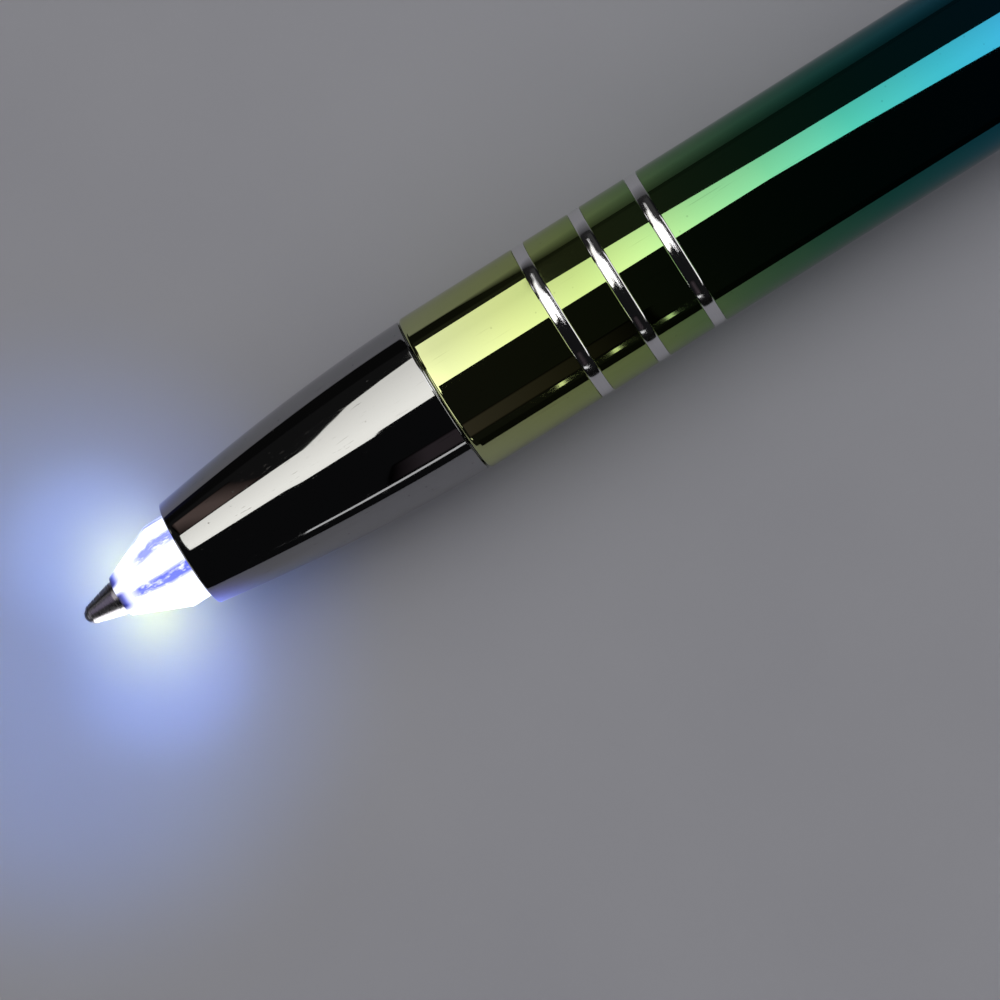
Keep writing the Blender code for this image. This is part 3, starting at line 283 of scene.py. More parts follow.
point = turned(
    rounding(BALL_RADIUS, 0, BALL_RADIUS + CUP_GAP, CUP_REAR_ANGLE, CUP_FRONT_ANGLE, 10),
    rounding(*CRIMP_CENTRE, CRIMP_ROUND, CRIMP_ANGLE, CONE_ANGLE),
    rounding(CONE_END, NIB_RADIUS - CONE_ROUND, CONE_ROUND, CONE_ANGLE, 90, 4),
    (NIB_LAND_END, NIB_SHANK_RADIUS),
    (NIB_SHANK_END, INK_CHANNEL_RADIUS),
    segments=NIB_SEGMENTS,
)
nib = finished("nib", point, nickel_silver, "refill", "nib_steel", "refill_nib")


# Refill tube
# A drawn brass tube that holds the ink. A rolled groove crimps it on the nib's shank, and handling has
# dulled the brass in patches.

TUBE_START, TUBE_END, TUBE_RADIUS, TUBE_BORE = 9.05, 67.0, 1.175, 0.875
GROOVE_STATION, GROOVE_SIZE, GROOVE_DEPTH, GROOVE_ANGLES = 10.5, 0.3, 0.05, (236, 304)

tarnish, given, result = new_group("tarnish", ["Patches per metre"], ["Tarnish"])
feed(result, Tarnish=spread(noise(given["Vector"], given["Patches per metre"], 4.0, 0.6), 0.42, 0.7))


def lay_over(shader, share, colour):
    """Lays a colour over the one that a shader has so far, by a share."""
    below = shader.inputs["Base Color"].links[0].from_socket
    feed(shader, Base_Color=blend_colours(share, below, colour))


def dull(shader, patches_per_metre, colour):
    """Dulls a metal's colour in patches."""
    patches = use_group(shader.id_data, tarnish, Patches_per_metre=patches_per_metre)
    lay_over(shader, patches["Tarnish"], colour)


brass, shader = turned_metal(
    "turned_brass", 12000.0, (0.66, 0.48, 0.2), (0.76, 0.58, 0.27), 0.16, 0.3, 0.0008
)
dull(shader, 420.0, (0.42, 0.29, 0.12))

tube = turned(
    (TUBE_START, TUBE_RADIUS),
    rounding(GROOVE_STATION, TUBE_RADIUS + GROOVE_SIZE - GROOVE_DEPTH, GROOVE_SIZE, *GROOVE_ANGLES),
    [(TUBE_END, TUBE_RADIUS), (TUBE_END, TUBE_BORE)],
    edge=0.05,
)
finished("ink_tube", tube, brass, "refill", "contact_brass", "refill_tube")


# Refill carrier and follower pin
# A white moulded carriage that grips the refill, with a steel pin pressed into its side. The pin runs in
# both slots of the twist, which takes the refill back without letting it turn.

CARRIER_FRONT, CARRIER_REAR, CARRIER_RADIUS = 63.0, 76.0, 2.0
SOCKET_RADIUS, SOCKET_END = 1.225, 67.05
PIN_STATION, PIN_RADIUS, PIN_ROOT, PIN_HEAD = 70.5, 0.55, 0.9, 3.78
PIN_SEGMENTS = 48
PRESS_GAP = 0.05

pin_low, pin_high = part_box("follower_pin")
pin_middle = (pin_low + pin_high) / 2
ROLL = math.atan2(AXIS.y - pin_middle.y, pin_middle.z - AXIS.z)


def rolled(bm):
    """Turns a shape made in line with straight up to the side that the clip and the pin are on."""
    bmesh.ops.rotate(bm, cent=AXIS, matrix=Matrix.Rotation(ROLL, 3, "X"), verts=bm.verts)
    return bm


def cut_away(bm, cutter):
    """Cuts one closed shape out of another, as a drill or a milling cutter does."""
    for shape in (bm, cutter):
        bmesh.ops.recalc_face_normals(shape, faces=shape.faces)
    blank, tool = as_object("blank", bm), as_object("tool", cutter)
    cut = blank.modifiers.new("cut", "BOOLEAN")
    cut.operation, cut.solver, cut.object = "DIFFERENCE", "EXACT", tool
    left = bmesh.new()
    left.from_object(blank, bpy.context.evaluated_depsgraph_get())
    for used in (blank, tool):
        bpy.data.meshes.remove(used.data)
    bmesh.ops.dissolve_verts(left, verts=[v for v in left.verts if len(v.link_edges) == 2])
    return left


def pin_shape(radius, foot, head):
    """A round pin that stands across the pen, from its foot to its head, measured from the axis."""
    bm = bmesh.new()
    size = radius * MM
    bmesh.ops.create_cone(
        bm, cap_ends=True, segments=PIN_SEGMENTS, radius1=size, radius2=size, depth=(head - foot) * MM
    )
    bmesh.ops.translate(bm, vec=place(PIN_STATION, (head + foot) / 2), verts=bm.verts)
    return bm


mould_grain, given, result = new_group("mould_grain", ["Grain per metre"], ["Grain", "Flow"])
feed(
    result,
    Grain=noise(given["Vector"], given["Grain per metre"], 3.0, 0.6),
    Flow=spread(noise(given["Vector"], 260.0, 2.0), 0.35, 0.65),
)


def moulded(name, grain_per_metre, dark, pale, smooth, rough, depth):
    """A moulded plastic or rubber: flow marks in its colour and the mould's grain in its surface."""
    material, tree, shader = new_finish(name)
    surface = use_group(tree, mould_grain, Grain_per_metre=grain_per_metre)
    feed(
        shader,
        Base_Color=blend_colours(surface["Flow"], dark, pale),
        Roughness=spread(surface["Grain"], *NOISE_RANGE, smooth, rough),
    )
    raise_surface(shader, surface["Grain"], depth)
    return material, shader


white_plastic, _ = moulded("white_plastic", 5200.0, (0.74, 0.74, 0.72), (0.82, 0.82, 0.8), 0.36, 0.52, 0.004)

spring_steel, tree, shader = new_finish("spring_steel", Metallic=1.0)
drawn = noise(own_place(tree), 4200.0, 4.0, 0.7)
feed(
    shader,
    Base_Color=blend_colours(drawn, (0.42, 0.42, 0.43), (0.62, 0.62, 0.63)),
    Roughness=spread(drawn, *NOISE_RANGE, 0.2, 0.36),
)

carrier = turned((SOCKET_END, SOCKET_RADIUS), (CARRIER_FRONT, CARRIER_RADIUS), (CARRIER_REAR, 0), edge=0.1)
pin_hole = pin_shape(PIN_RADIUS + PRESS_GAP, PIN_ROOT - PRESS_GAP, 2 * CARRIER_RADIUS)
carrier = rolled(cut_away(carrier, pin_hole))
finished("carriage", carrier, white_plastic, "refill", "white_plastic", "refill_carrier")

follower = pin_shape(PIN_RADIUS, PIN_ROOT, PIN_HEAD)
break_edges(follower, 0.08)
finished("follower", rolled(follower), spring_steel, "refill", "spring_steel", "follower_pin")


# Light tip
# A clear acrylic moulding with the nib running through its bore. The lights behind it fill it, so the
# cone glows white, with blue streaks along its flutes. The nib's dark shape in its thin front is painted
# shade in its glow, left out at a painted white highlight and on its lit lower side.

TIP_SEGMENTS = 128
TIP_FRONT, TIP_FRONT_RADIUS, TIP_EDGE, TIP_FLANK_ANGLE = 2.4, 1.3, 0.08, 113
TIP_SHOULDER, TIP_ROUND, TIP_COLLAR_RADIUS = 5.7684, 0.25, 2.7086
TIP_FLANGE_START, TIP_FLANGE_END, TIP_FLANGE_RADIUS = 8.0684, 9.2684, 2.9786
TIP_TAIL, TIP_TAIL_RADIUS, TIP_TAIL_BORE = 12.4684, 2.5786, 1.5
TIP_BORE, TIP_BORE_STEP = 1.13, 7.1184
TIP_GLOW = 1.15
GLOW_COLOUR, STREAK_COLOUR, PAINTED_NIB_SHADE = (0.95, 0.97, 1.0), (0.03, 0.05, 0.75), (0.01, 0.01, 0.05)
FLUTE_COUNT, FLUTE_START, FLUTE_FLANK = 8, math.radians(12), (0.1, 0.75)
THREADS_PER_METRE, THREAD_EDGE = 130.0, (0.32, 0.5)
STREAK_TURN, STREAK_NEAR, STREAK_FAR, STREAK_FADE = (-0.1, 0.4), 3.0, 4.0, 0.8
FAR_STREAKS, NEAR_STREAKS = (0.0, 0.4, 1.0, 0.88), (-0.75, -0.4, 0.25, 1.0)
PAINTED_HIGHLIGHT_ANGLE, PAINTED_HIGHLIGHT_EDGE, LIT_SIDE_EDGE = 0.32, (0.1, 0.3), (-0.8, -0.5)
THIN_FRONT, NIB_FRONT, CORE_EDGE, CORE_SHARE = (2.6, 3.2), (2.45, 2.9), (1.2, 1.3), 0.6


def number(operation, *terms):
    """A Math node's result. Each term is a socket or a number, and one or more is a socket."""
    tree = next(term.id_data for term in terms if isinstance(term, bpy.types.NodeSocket))
    node = add(tree, "Math", operation=operation)
    for socket, term in zip(node.inputs, terms):
        fill(socket, term)
    return node.outputs["Value"]


def product(*terms):
    """What several masks have in common, or a level that they all dim."""
    whole, *others = terms
    for term in others:
        whole = number("MULTIPLY", whole, term)
    return whole


def distance(y, z):
    """How far a place is from the line that y and z are measured from."""
    return number("SQRT", number("ADD", number("POWER", y, 2.0), number("POWER", z, 2.0)))


def round_axis(tree):
    """Where a surface is on the pen, from the ball's middle: metres along, angle round and radius."""
    x, y, z = apart(add(tree, "Mapping", Vector=own_place(tree), Location=-AXIS).outputs["Vector"])
    return x, number("ARCTAN2", y, z), distance(y, z)


def behind_ball(station):
    """A station in metres from the ball's middle, as round_axis has it."""
    return (station - BALL_RADIUS) * MM


def up_to(along, full, gone):
    """A mask that is full as far as one station and gone at another."""
    return spread(along, behind_ball(full), behind_ball(gone), 1.0, 0.0)


acrylic, tree, shader = new_finish(
    "lit_clear_acrylic", IOR=1.49, Transmission_Weight=0.3, Emission_Strength=TIP_GLOW
)
along, angle, radius = round_axis(tree)
ridge = number("COSINE", number("MULTIPLY", number("ADD", angle, FLUTE_START), FLUTE_COUNT))
stretched = add(tree, "CombineXYZ", X=angle, Y=number("MULTIPLY", along, THREADS_PER_METRE))
threads = noise(stretched.outputs["Vector"], 9.0, 4.0, 0.65)
streak_start = spread(angle, *STREAK_TURN, behind_ball(STREAK_NEAR), behind_ball(STREAK_FAR))
streak = product(
    spread(ridge, *FLUTE_FLANK),
    spread(threads, *THREAD_EDGE),
    spread(number("SUBTRACT", along, streak_start), 0.0, STREAK_FADE * MM),
    spread(angle, *FAR_STREAKS),
    spread(angle, *NEAR_STREAKS),
)
# Painted shade: the nib's dark shape is painted into the front's glow and colour, except at a painted white
# highlight spot and on the lit lower side.
from_painted_highlight = number("ABSOLUTE", number("SUBTRACT", angle, PAINTED_HIGHLIGHT_ANGLE))
off_painted_highlight_and_lit_side = product(spread(from_painted_highlight, *PAINTED_HIGHLIGHT_EDGE), spread(angle, *LIT_SIDE_EDGE))
core = spread(radius, *(edge * MM for edge in CORE_EDGE), CORE_SHARE, 0.0)
blue = number("MAXIMUM", number("MAXIMUM", product(off_painted_highlight_and_lit_side, up_to(along, *THIN_FRONT)), core), streak)
painted_nib_shade_mask = product(off_painted_highlight_and_lit_side, up_to(along, *NIB_FRONT))
feed(
    shader,
    Emission_Color=blend_colours(painted_nib_shade_mask, blend_colours(blue, GLOW_COLOUR, STREAK_COLOUR), PAINTED_NIB_SHADE),
    Base_Color=blend_colours(painted_nib_shade_mask, (0.25, 0.28, 0.4), (0.05, 0.05, 0.12)),
    Roughness=spread(threads, *NOISE_RANGE, 0.03, 0.1),
)

tip = turned(
    [(TIP_FRONT, TIP_BORE)],
    rounding(TIP_FRONT + TIP_EDGE, TIP_FRONT_RADIUS - TIP_EDGE, TIP_EDGE, 180, TIP_FLANK_ANGLE, 4),
    rounding(TIP_SHOULDER, TIP_COLLAR_RADIUS - TIP_ROUND, TIP_ROUND, TIP_FLANK_ANGLE, 90, 4),
    (TIP_FLANGE_START, TIP_FLANGE_RADIUS),
    (TIP_FLANGE_END, TIP_TAIL_RADIUS),
    (TIP_TAIL, TIP_TAIL_BORE),
    (TIP_BORE_STEP, TIP_BORE),
    segments=TIP_SEGMENTS,
)
finished("clear_tip", tip, acrylic, "lower_body", "clear_acrylic", "light_tip")


# Light board
# A ring of green glass laminate behind the light tip. It carries three white lights on its front, and on
# its back a chip resistor and a tinned ring that the contact spring presses on.

BOARD_FRONT, BOARD_REAR, BOARD_HOLE, BOARD_RADIUS = 13.4684, 14.2684, 1.5, 2.9786
RIM_START, RIM_FULL = 0.06, 0.03
PAD_INNER, PAD_OUTER, PAD_EDGE, PAD_DEPTH = 1.56, 2.02, 0.02, 0.05
LIGHT_COUNT, LIGHT_CIRCLE = 3, 2.0393
CHIP_HEIGHT, CHIP_WIDTH, CHIP_DEPTH = 0.35, 1.6, 0.8
LENS_HEIGHT, LENS_INSET, LENS_EDGE = 0.3, 0.12, 0.03
RESISTOR_HEIGHT, RESISTOR_WIDTH, RESISTOR_DEPTH, RESISTOR_CIRCLE = 0.4, 1.0, 0.5, 2.3
RESISTOR_END_CAP = 0.22
SEAT_GAP = 0.05

laminate, tree, shader = new_finish("green_laminate", Coat_Weight=0.3)
along, _, radius = round_axis(tree)
weave = add(tree, "TexChecker", Vector=own_place(tree), Scale=3600.0).outputs["Fac"]
mask_colour = blend_colours(weave, (0.035, 0.2, 0.075), (0.055, 0.26, 0.1))
rim = spread(radius, (BOARD_RADIUS - RIM_START) * MM, (BOARD_RADIUS - RIM_FULL) * MM)
pad = product(
    spread(radius, PAD_INNER * MM, (PAD_INNER + PAD_EDGE) * MM),
    spread(radius, PAD_OUTER * MM, (PAD_OUTER + PAD_EDGE) * MM, 1.0, 0.0),
    number("GREATER_THAN", along, behind_ball(BOARD_REAR - PAD_DEPTH)),
)
feed(
    shader,
    Base_Color=blend_colours(pad, blend_colours(rim, mask_colour, (0.5, 0.46, 0.26)), (0.66, 0.65, 0.62)),
    Metallic=pad,
    Roughness=spread(weave, 0.0, 1.0, 0.34, 0.42),
)

board = turned((BOARD_FRONT, BOARD_RADIUS), (BOARD_REAR, BOARD_HOLE), edge=0.04)
finished("light_board", board, laminate, "lower_body", "board_resin", "led_board")


def chip(height, width, depth, station, radius):
    """A small block on the board, as high, wide and deep as it stands there, with its front at -X."""
    bm = bmesh.new()
    bmesh.ops.create_cube(bm, size=MM)
    bmesh.ops.scale(bm, vec=(height, width, depth), verts=bm.verts)
    bmesh.ops.translate(bm, vec=place(station, radius), verts=bm.verts)
    return bm


light_front = BOARD_FRONT - SEAT_GAP - CHIP_HEIGHT
phosphor, tree, shader = new_finish("cast_phosphor", Emission_Strength=1.5, IOR=1.5)
along, _, _ = round_axis(tree)
lens_share = up_to(along, light_front, light_front + LENS_EDGE)
specks = noise(own_place(tree), 9000.0, 2.0)
resin = blend_colours(specks, (0.9, 0.8, 0.4), (0.95, 0.9, 0.6))
feed(
    shader,
    Base_Color=blend_colours(lens_share, (0.82, 0.82, 0.8), resin),
    Emission_Color=blend_colours(lens_share, (0.0, 0.0, 0.0), (0.9, 0.93, 1.0)),
    Roughness=spread(specks, *NOISE_RANGE, 0.18, 0.3),
)

for count in range(LIGHT_COUNT):
    bm = chip(CHIP_HEIGHT, CHIP_WIDTH, CHIP_DEPTH, light_front + CHIP_HEIGHT / 2, LIGHT_CIRCLE)
    front = min(bm.faces, key=lambda face: face.calc_center_median().x)
    bmesh.ops.inset_region(bm, faces=[front], thickness=LENS_INSET * MM)
    raised = bmesh.ops.extrude_face_region(bm, geom=[front])["geom"]
    bmesh.ops.delete(bm, geom=[front], context="FACES_ONLY")
    lens = [vert for vert in raised if isinstance(vert, bmesh.types.BMVert)]
    bmesh.ops.translate(bm, vec=(-LENS_HEIGHT * MM, 0, 0), verts=lens)
    break_edges(bm, 0.05)
    spun = Matrix.Rotation(2 * math.pi * count / LIGHT_COUNT, 3, "X")
    bmesh.ops.rotate(bm, cent=AXIS, matrix=spun, verts=bm.verts)
    finished(f"light_{count + 1}", rolled(bm), phosphor, "lower_body", "led_resin", f"led_{count + 1}")

chip_resistor, tree, shader = new_finish("chip_resistor")
upright = add(tree, "Mapping", vector_type="TEXTURE", Location=AXIS, Rotation=(ROLL, 0.0, 0.0))
feed(upright, Vector=own_place(tree))
from_middle = number("ABSOLUTE", apart(upright.outputs["Vector"])["Y"])
cap = number("GREATER_THAN", from_middle, (RESISTOR_WIDTH / 2 - RESISTOR_END_CAP) * MM)
tin = noise(own_place(tree), 7000.0, 3.0)
body_colour = blend_colours(tin, (0.02, 0.02, 0.022), (0.04, 0.04, 0.042))
feed(
    shader,
    Base_Color=blend_colours(cap, body_colour, (0.64, 0.64, 0.63)),
    Metallic=cap,
    Roughness=spread(tin, *NOISE_RANGE, 0.28, 0.42),
)

resistor_middle = BOARD_REAR + SEAT_GAP + RESISTOR_HEIGHT / 2
bm = chip(RESISTOR_HEIGHT, RESISTOR_WIDTH, RESISTOR_DEPTH, resistor_middle, RESISTOR_CIRCLE)
break_edges(bm, 0.04)
finished("resistor_chip", rolled(bm), chip_resistor, "lower_body", "black_plastic", "board_resistor")


# Board retainer
# A white moulded bush pressed into the nose cone's counterbore. Its thin foot bears on the board's rim
# and holds the board and the light tip forward.

RETAINER_FRONT, RETAINER_SHOULDER, RETAINER_REAR = 14.3184, 14.7684, 16.7684
RETAINER_RADIUS, RETAINER_BORE, RETAINER_FOOT_BORE = 3.80, 2.12, 2.6786

bush = turned(
    (RETAINER_FRONT, BOARD_RADIUS),
    (RETAINER_SHOULDER, RETAINER_RADIUS),
    (RETAINER_REAR, RETAINER_BORE),
    (RETAINER_SHOULDER, RETAINER_FOOT_BORE),
    edge=0.06,
)
finished("retaining_bush", bush, white_plastic, "lower_body", "white_plastic", "board_retainer")


# Contact spring, tube and insulation
# The live lead round the refill: a steel coil that presses on the board, a flanged brass tube behind it,
# and a white moulded spool whose three discs keep the tube off the barrel.

WIRE_SEGMENTS, COIL_STEPS, COIL_CLEARANCE = 14, 40, 0.02
CONTACT_COIL = {"radius": 1.75, "wire": 0.3, "start": BOARD_REAR + SEAT_GAP, "length": 8.0, "turns": 7}
CONTACT_TUBE_START, CONTACT_TUBE_END, CONTACT_TUBE_RADIUS, CONTACT_TUBE_BORE = 22.3684, 56.3, 1.6, 1.3
CONTACT_FLANGE_RADIUS, CONTACT_FLANGE_LENGTH = 2.0, 0.5
SPOOL_START, SPOOL_BORE, SPOOL_SKIN = 30.9184, 1.65, 2.25
SPOOL_DISCS, SPOOL_DISC_LENGTH = 3, 1.2
SEATED_RADIUS = 4.45


def coil(radius, wire, start, length, turns):
    """Round wire wound on the pen's axis, with a closed turn at each end."""
    bm = bmesh.new()
    ring = bmesh.ops.create_circle(bm, cap_ends=True, segments=WIRE_SEGMENTS, radius=wire / 2 * MM)["verts"]
    bmesh.ops.rotate(bm, cent=(0, 0, 0), matrix=Matrix.Rotation(math.pi / 2, 3, "X"), verts=ring)
    bmesh.ops.translate(bm, vec=place(start + wire / 2, radius), verts=ring)
    closed_pitch = wire + COIL_CLEARANCE
    open_pitch = (length - wire - 2 * closed_pitch) / (turns - 2)
    geom = [*bm.verts, *bm.edges, *bm.faces]
    for count, pitch in ((1, closed_pitch), (turns - 2, open_pitch), (1, closed_pitch)):
        geom = bmesh.ops.spin(
            bm, geom=geom, cent=AXIS, axis=(1, 0, 0), dvec=(pitch / COIL_STEPS * MM, 0, 0),
            angle=2 * math.pi * count, steps=COIL_STEPS * count,
        )["geom_last"]
    return rolled(bm)


def land(start, end, base, level):
    """Outline of one disc or groove on a longer piece, from the radius beside it to its own."""
    return [(start, base), (start, level), (end, level), (end, base)]


finished("contact_coil", coil(**CONTACT_COIL), spring_steel, "lower_body", "spring_steel", "contact_spring")

contact_tube = turned(
    (CONTACT_TUBE_START, CONTACT_FLANGE_RADIUS),
    (CONTACT_TUBE_START + CONTACT_FLANGE_LENGTH, CONTACT_TUBE_RADIUS),
    (CONTACT_TUBE_END, CONTACT_TUBE_BORE),
    edge=0.05,
)
finished("flanged_tube", contact_tube, brass, "lower_body", "contact_brass", "contact_tube")

disc_pitch = (CONTACT_TUBE_END - SPOOL_START - SPOOL_DISC_LENGTH) / (SPOOL_DISCS - 1)
starts = [SPOOL_START + count * disc_pitch for count in range(SPOOL_DISCS)]
discs = [land(start, start + SPOOL_DISC_LENGTH, SPOOL_SKIN, SEATED_RADIUS) for start in starts]
spool = turned([(SPOOL_START, SPOOL_BORE)], *discs, [(CONTACT_TUBE_END, SPOOL_BORE)], edge=0.08)
finished("insulating_spool", spool, white_plastic, "lower_body", "white_plastic", "insulating_sleeve")


# Nose cone
# A brass shell in dark mirror chrome that swells from the clear tip to the barrel. Its spigot screws into
# the barrel. Handling has left hairline scratches and specks on the plating, and the lit tip's blue light
# on its front is painted light, a glow of the chrome itself.

SHELL_SEGMENTS = 160
NOSE_FRONT, SEAM, SPIGOT_END = 7.1184, 24.3684, 30.8684
NOSE_FRONT_RADIUS, NOSE_REAR_RADIUS, NOSE_SWELL = 3.3286, 4.92, 1.7
NOSE_ROUND, NOSE_FLANK_ANGLE, NOSE_REAR_ROUND, NOSE_STEPS = 0.12, 99, 0.06, 40
NOSE_MOUTH, NOSE_BORE, NOSE_COUNTERBORE = TIP_COLLAR_RADIUS + PRESS_GAP, 3.0286, 3.85
NOSE_LIP_END, NOSE_BORE_END = 8.0184, 14.7184
PAINTED_TIP_LIGHT_COLOUR, PAINTED_TIP_LIGHT_STRENGTH, PAINTED_TIP_LIGHT_LENGTH, PAINTED_TIP_LIGHT_FADE = (0.2, 0.23, 1.0), 0.6, 5.5, 3.5
PAINTED_TIP_LIGHT_NEAR, PAINTED_TIP_LIGHT_FULL, PAINTED_TIP_LIGHT_FAR_SIDE = 0.75, 1.2, 0.2


def nose_radius(station):
    """The nose's outer radius, which swells fastest at its front."""
    share = (SEAM - station) / (SEAM - NOSE_FRONT)
    return NOSE_REAR_RADIUS - (NOSE_REAR_RADIUS - NOSE_FRONT_RADIUS) * share**NOSE_SWELL


handling_marks, given, result = new_group(
    "handling_marks", ["Length", "Fineness"], ["Scratches", "Specks", "Waves"]
)
fineness = given["Fineness"]
lengthwise = add(handling_marks, "CombineXYZ", X=given["Length"], Y=fineness, Z=fineness).outputs["Vector"]
stretched = add(handling_marks, "Mapping", Rotation=(0.0, 0.05, 0.07), Scale=lengthwise)
feed(stretched, Vector=given["Vector"])
dots = add(handling_marks, "TexVoronoi", Vector=given["Vector"], Scale=1100.0)
feed(
    result,
    Scratches=spread(noise(stretched.outputs["Vector"], 1.0, 2.0, 0.7), 0.66, 0.74),
    Specks=spread(dots.outputs["Distance"], 0.05, 0.09, 1.0, 0.0),
    Waves=noise(given["Vector"], 260.0, 2.0),
)


def mirror_marks(shader, smooth, rough, wave_depth):
    """Handling marks on a mirror finish: rougher along scratches, and the faintest waves in the surface."""
    marks = use_group(shader.id_data, handling_marks, Length=180.0, Fineness=9000.0)
    marked = number("MAXIMUM", marks["Scratches"], marks["Specks"])
    feed(shader, Roughness=spread(marked, 0.0, 1.0, smooth, rough))
    raise_surface(shader, marks["Waves"], wave_depth)
    return marked


dark_chrome, tree, shader = new_finish(
    "dark_chrome", Metallic=1.0, Specular_Tint=(0.9, 0.9, 0.9, 1.0), Emission_Strength=PAINTED_TIP_LIGHT_STRENGTH
)
marked = mirror_marks(shader, 0.035, 0.2, 0.004)
# Painted light: the tip's blue light on the nose's front is an emission, full on one side, faint on the
# other, fading back from the front.
along, angle, _ = round_axis(tree)
painted_light_near_side = spread(angle, -PAINTED_TIP_LIGHT_FULL, -PAINTED_TIP_LIGHT_NEAR, 1.0, 0.0)
painted_light_far_side = spread(angle, PAINTED_TIP_LIGHT_NEAR, PAINTED_TIP_LIGHT_FULL, 0.0, PAINTED_TIP_LIGHT_FAR_SIDE)
painted_tip_light = number("POWER", up_to(along, NOSE_FRONT, NOSE_FRONT + PAINTED_TIP_LIGHT_LENGTH), PAINTED_TIP_LIGHT_FADE)
painted_tip_light = product(painted_tip_light, number("ADD", painted_light_near_side, painted_light_far_side))
feed(
    shader,
    Base_Color=blend_colours(marked, (0.365, 0.365, 0.37), (0.27, 0.265, 0.265)),
    Emission_Color=blend_colours(painted_tip_light, (0.0, 0.0, 0.0), PAINTED_TIP_LIGHT_COLOUR),
)

nose_start, nose_end = NOSE_FRONT + NOSE_ROUND, SEAM - 2 * NOSE_REAR_ROUND
nose_stations = [nose_start + (nose_end - nose_start) * i / NOSE_STEPS for i in range(1, NOSE_STEPS + 1)]
nose = turned(
    [(NOSE_FRONT, NOSE_MOUTH)],
    rounding(nose_start, nose_radius(nose_start) - NOSE_ROUND, NOSE_ROUND, 180, NOSE_FLANK_ANGLE, 8),
    [(station, nose_radius(station)) for station in nose_stations],
    rounding(SEAM - NOSE_REAR_ROUND, NOSE_REAR_RADIUS - NOSE_REAR_ROUND, NOSE_REAR_ROUND, 90, 0),
    [(SEAM, SEATED_RADIUS)],
    (SPIGOT_END, NOSE_COUNTERBORE),
    (NOSE_BORE_END, NOSE_BORE),
    (NOSE_LIP_END, NOSE_MOUTH),
    segments=SHELL_SEGMENTS,
)
finished("nose_shell", nose, dark_chrome, "lower_body", "nose_chrome", "nose_cone")


# Guide sleeve and snap ring
# A turned brass sleeve fixed in the lower barrel. A milled slot along it lets the follower pin slide but
# not turn, and an open steel ring in its groove keeps the cam sleeve on it.

GUIDE_START, GUIDE_FLANGE_END, GUIDE_STOP, GUIDE_END = 56.35, 58.35, 62.95, 85.0
GUIDE_RADIUS, GUIDE_BORE, GUIDE_NECK_BORE = 2.78, 2.08, 1.3
SNAP_GROOVE_START, SNAP_GROOVE_END, SNAP_GROOVE_RADIUS = 83.95, 84.55, 2.43
RETRACT_TRAVEL = 5.0
SLOT_PLAY = 0.1
SNAP_FRONT, SNAP_REAR, SNAP_INNER, SNAP_OUTER = 84.0, 84.5, 2.48, 3.38
SNAP_SWEEP = math.radians(290)

guide = turned(
    (GUIDE_START, SEATED_RADIUS),
    (GUIDE_FLANGE_END, GUIDE_RADIUS),
    (SNAP_GROOVE_START, SNAP_GROOVE_RADIUS),
    (SNAP_GROOVE_END, GUIDE_RADIUS),
    (GUIDE_END, GUIDE_BORE),
    (GUIDE_STOP, GUIDE_NECK_BORE),
    edge=0.05,
)
mill = pin_shape(PIN_RADIUS + SLOT_PLAY, GUIDE_BORE / 2, 2 * GUIDE_RADIUS)
half_step = Matrix.Rotation(math.pi / PIN_SEGMENTS, 3, "Z")
bmesh.ops.rotate(mill, cent=place(PIN_STATION, 0), matrix=half_step, verts=mill.verts)
rear_half = [vert for vert in mill.verts if vert.co.x > place(PIN_STATION, 0).x]
bmesh.ops.translate(mill, vec=(RETRACT_TRAVEL * MM, 0, 0), verts=rear_half)
finished("slotted_guide", rolled(cut_away(guide, mill)), brass, "lower_body", "contact_brass", "guide_sleeve")

snap = turned((SNAP_FRONT, SNAP_OUTER), (SNAP_REAR, SNAP_INNER), edge=0.06, sweep=SNAP_SWEEP)
finished("open_ring", rolled(snap), spring_steel, "lower_body", "spring_steel", "snap_ring")


# Cam sleeve
# A white moulded sleeve that turns on the guide sleeve with the upper barrel. Its helical slot falls back
# five millimetres in half a turn and carries the follower pin with it.

CAM_START, CAM_DRUM_START, CAM_END = 58.65, 79.7, 83.7
CAM_RADIUS, CAM_BORE = 3.86, 2.86
CUTTER_FOOT, CUTTER_HEAD = 1.43, 5.9572
TWIST_ANGLE, SLOT_END_ANGLE = math.pi, math.radians(15)
HELIX_STEPS = 96

helix_rise = RETRACT_TRAVEL / TWIST_ANGLE
helix_sweep = TWIST_ANGLE + 2 * SLOT_END_ANGLE
helix_start = PIN_STATION - helix_rise * SLOT_END_ANGLE
half_width = (PIN_RADIUS + SLOT_PLAY) / math.cos(math.atan2(helix_rise, CAM_BORE))
helix = bmesh.new()
corners = land(helix_start - half_width, helix_start + half_width, CUTTER_HEAD, CUTTER_FOOT)
section = helix.faces.new([helix.verts.new(place(*corner, SLOT_END_ANGLE)) for corner in corners])
bmesh.ops.spin(
    helix, geom=[*section.verts, *section.edges, section], cent=AXIS, axis=(1, 0, 0),
    dvec=(helix_rise * helix_sweep / HELIX_STEPS * MM, 0, 0), angle=-helix_sweep, steps=HELIX_STEPS,
)
cam = turned((CAM_START, CAM_RADIUS), (CAM_DRUM_START, SEATED_RADIUS), (CAM_END, CAM_BORE), edge=0.08)
cam = rolled(cut_away(cam, helix))
finished("helical_cam", cam, white_plastic, "upper_body", "white_plastic", "cam_sleeve")


# Lower barrel
# An aluminium tube, polished and given a vacuum coat whose interference colour runs along it from gold
# through green to blue. Its front edge is rounded where it meets the nose cone.

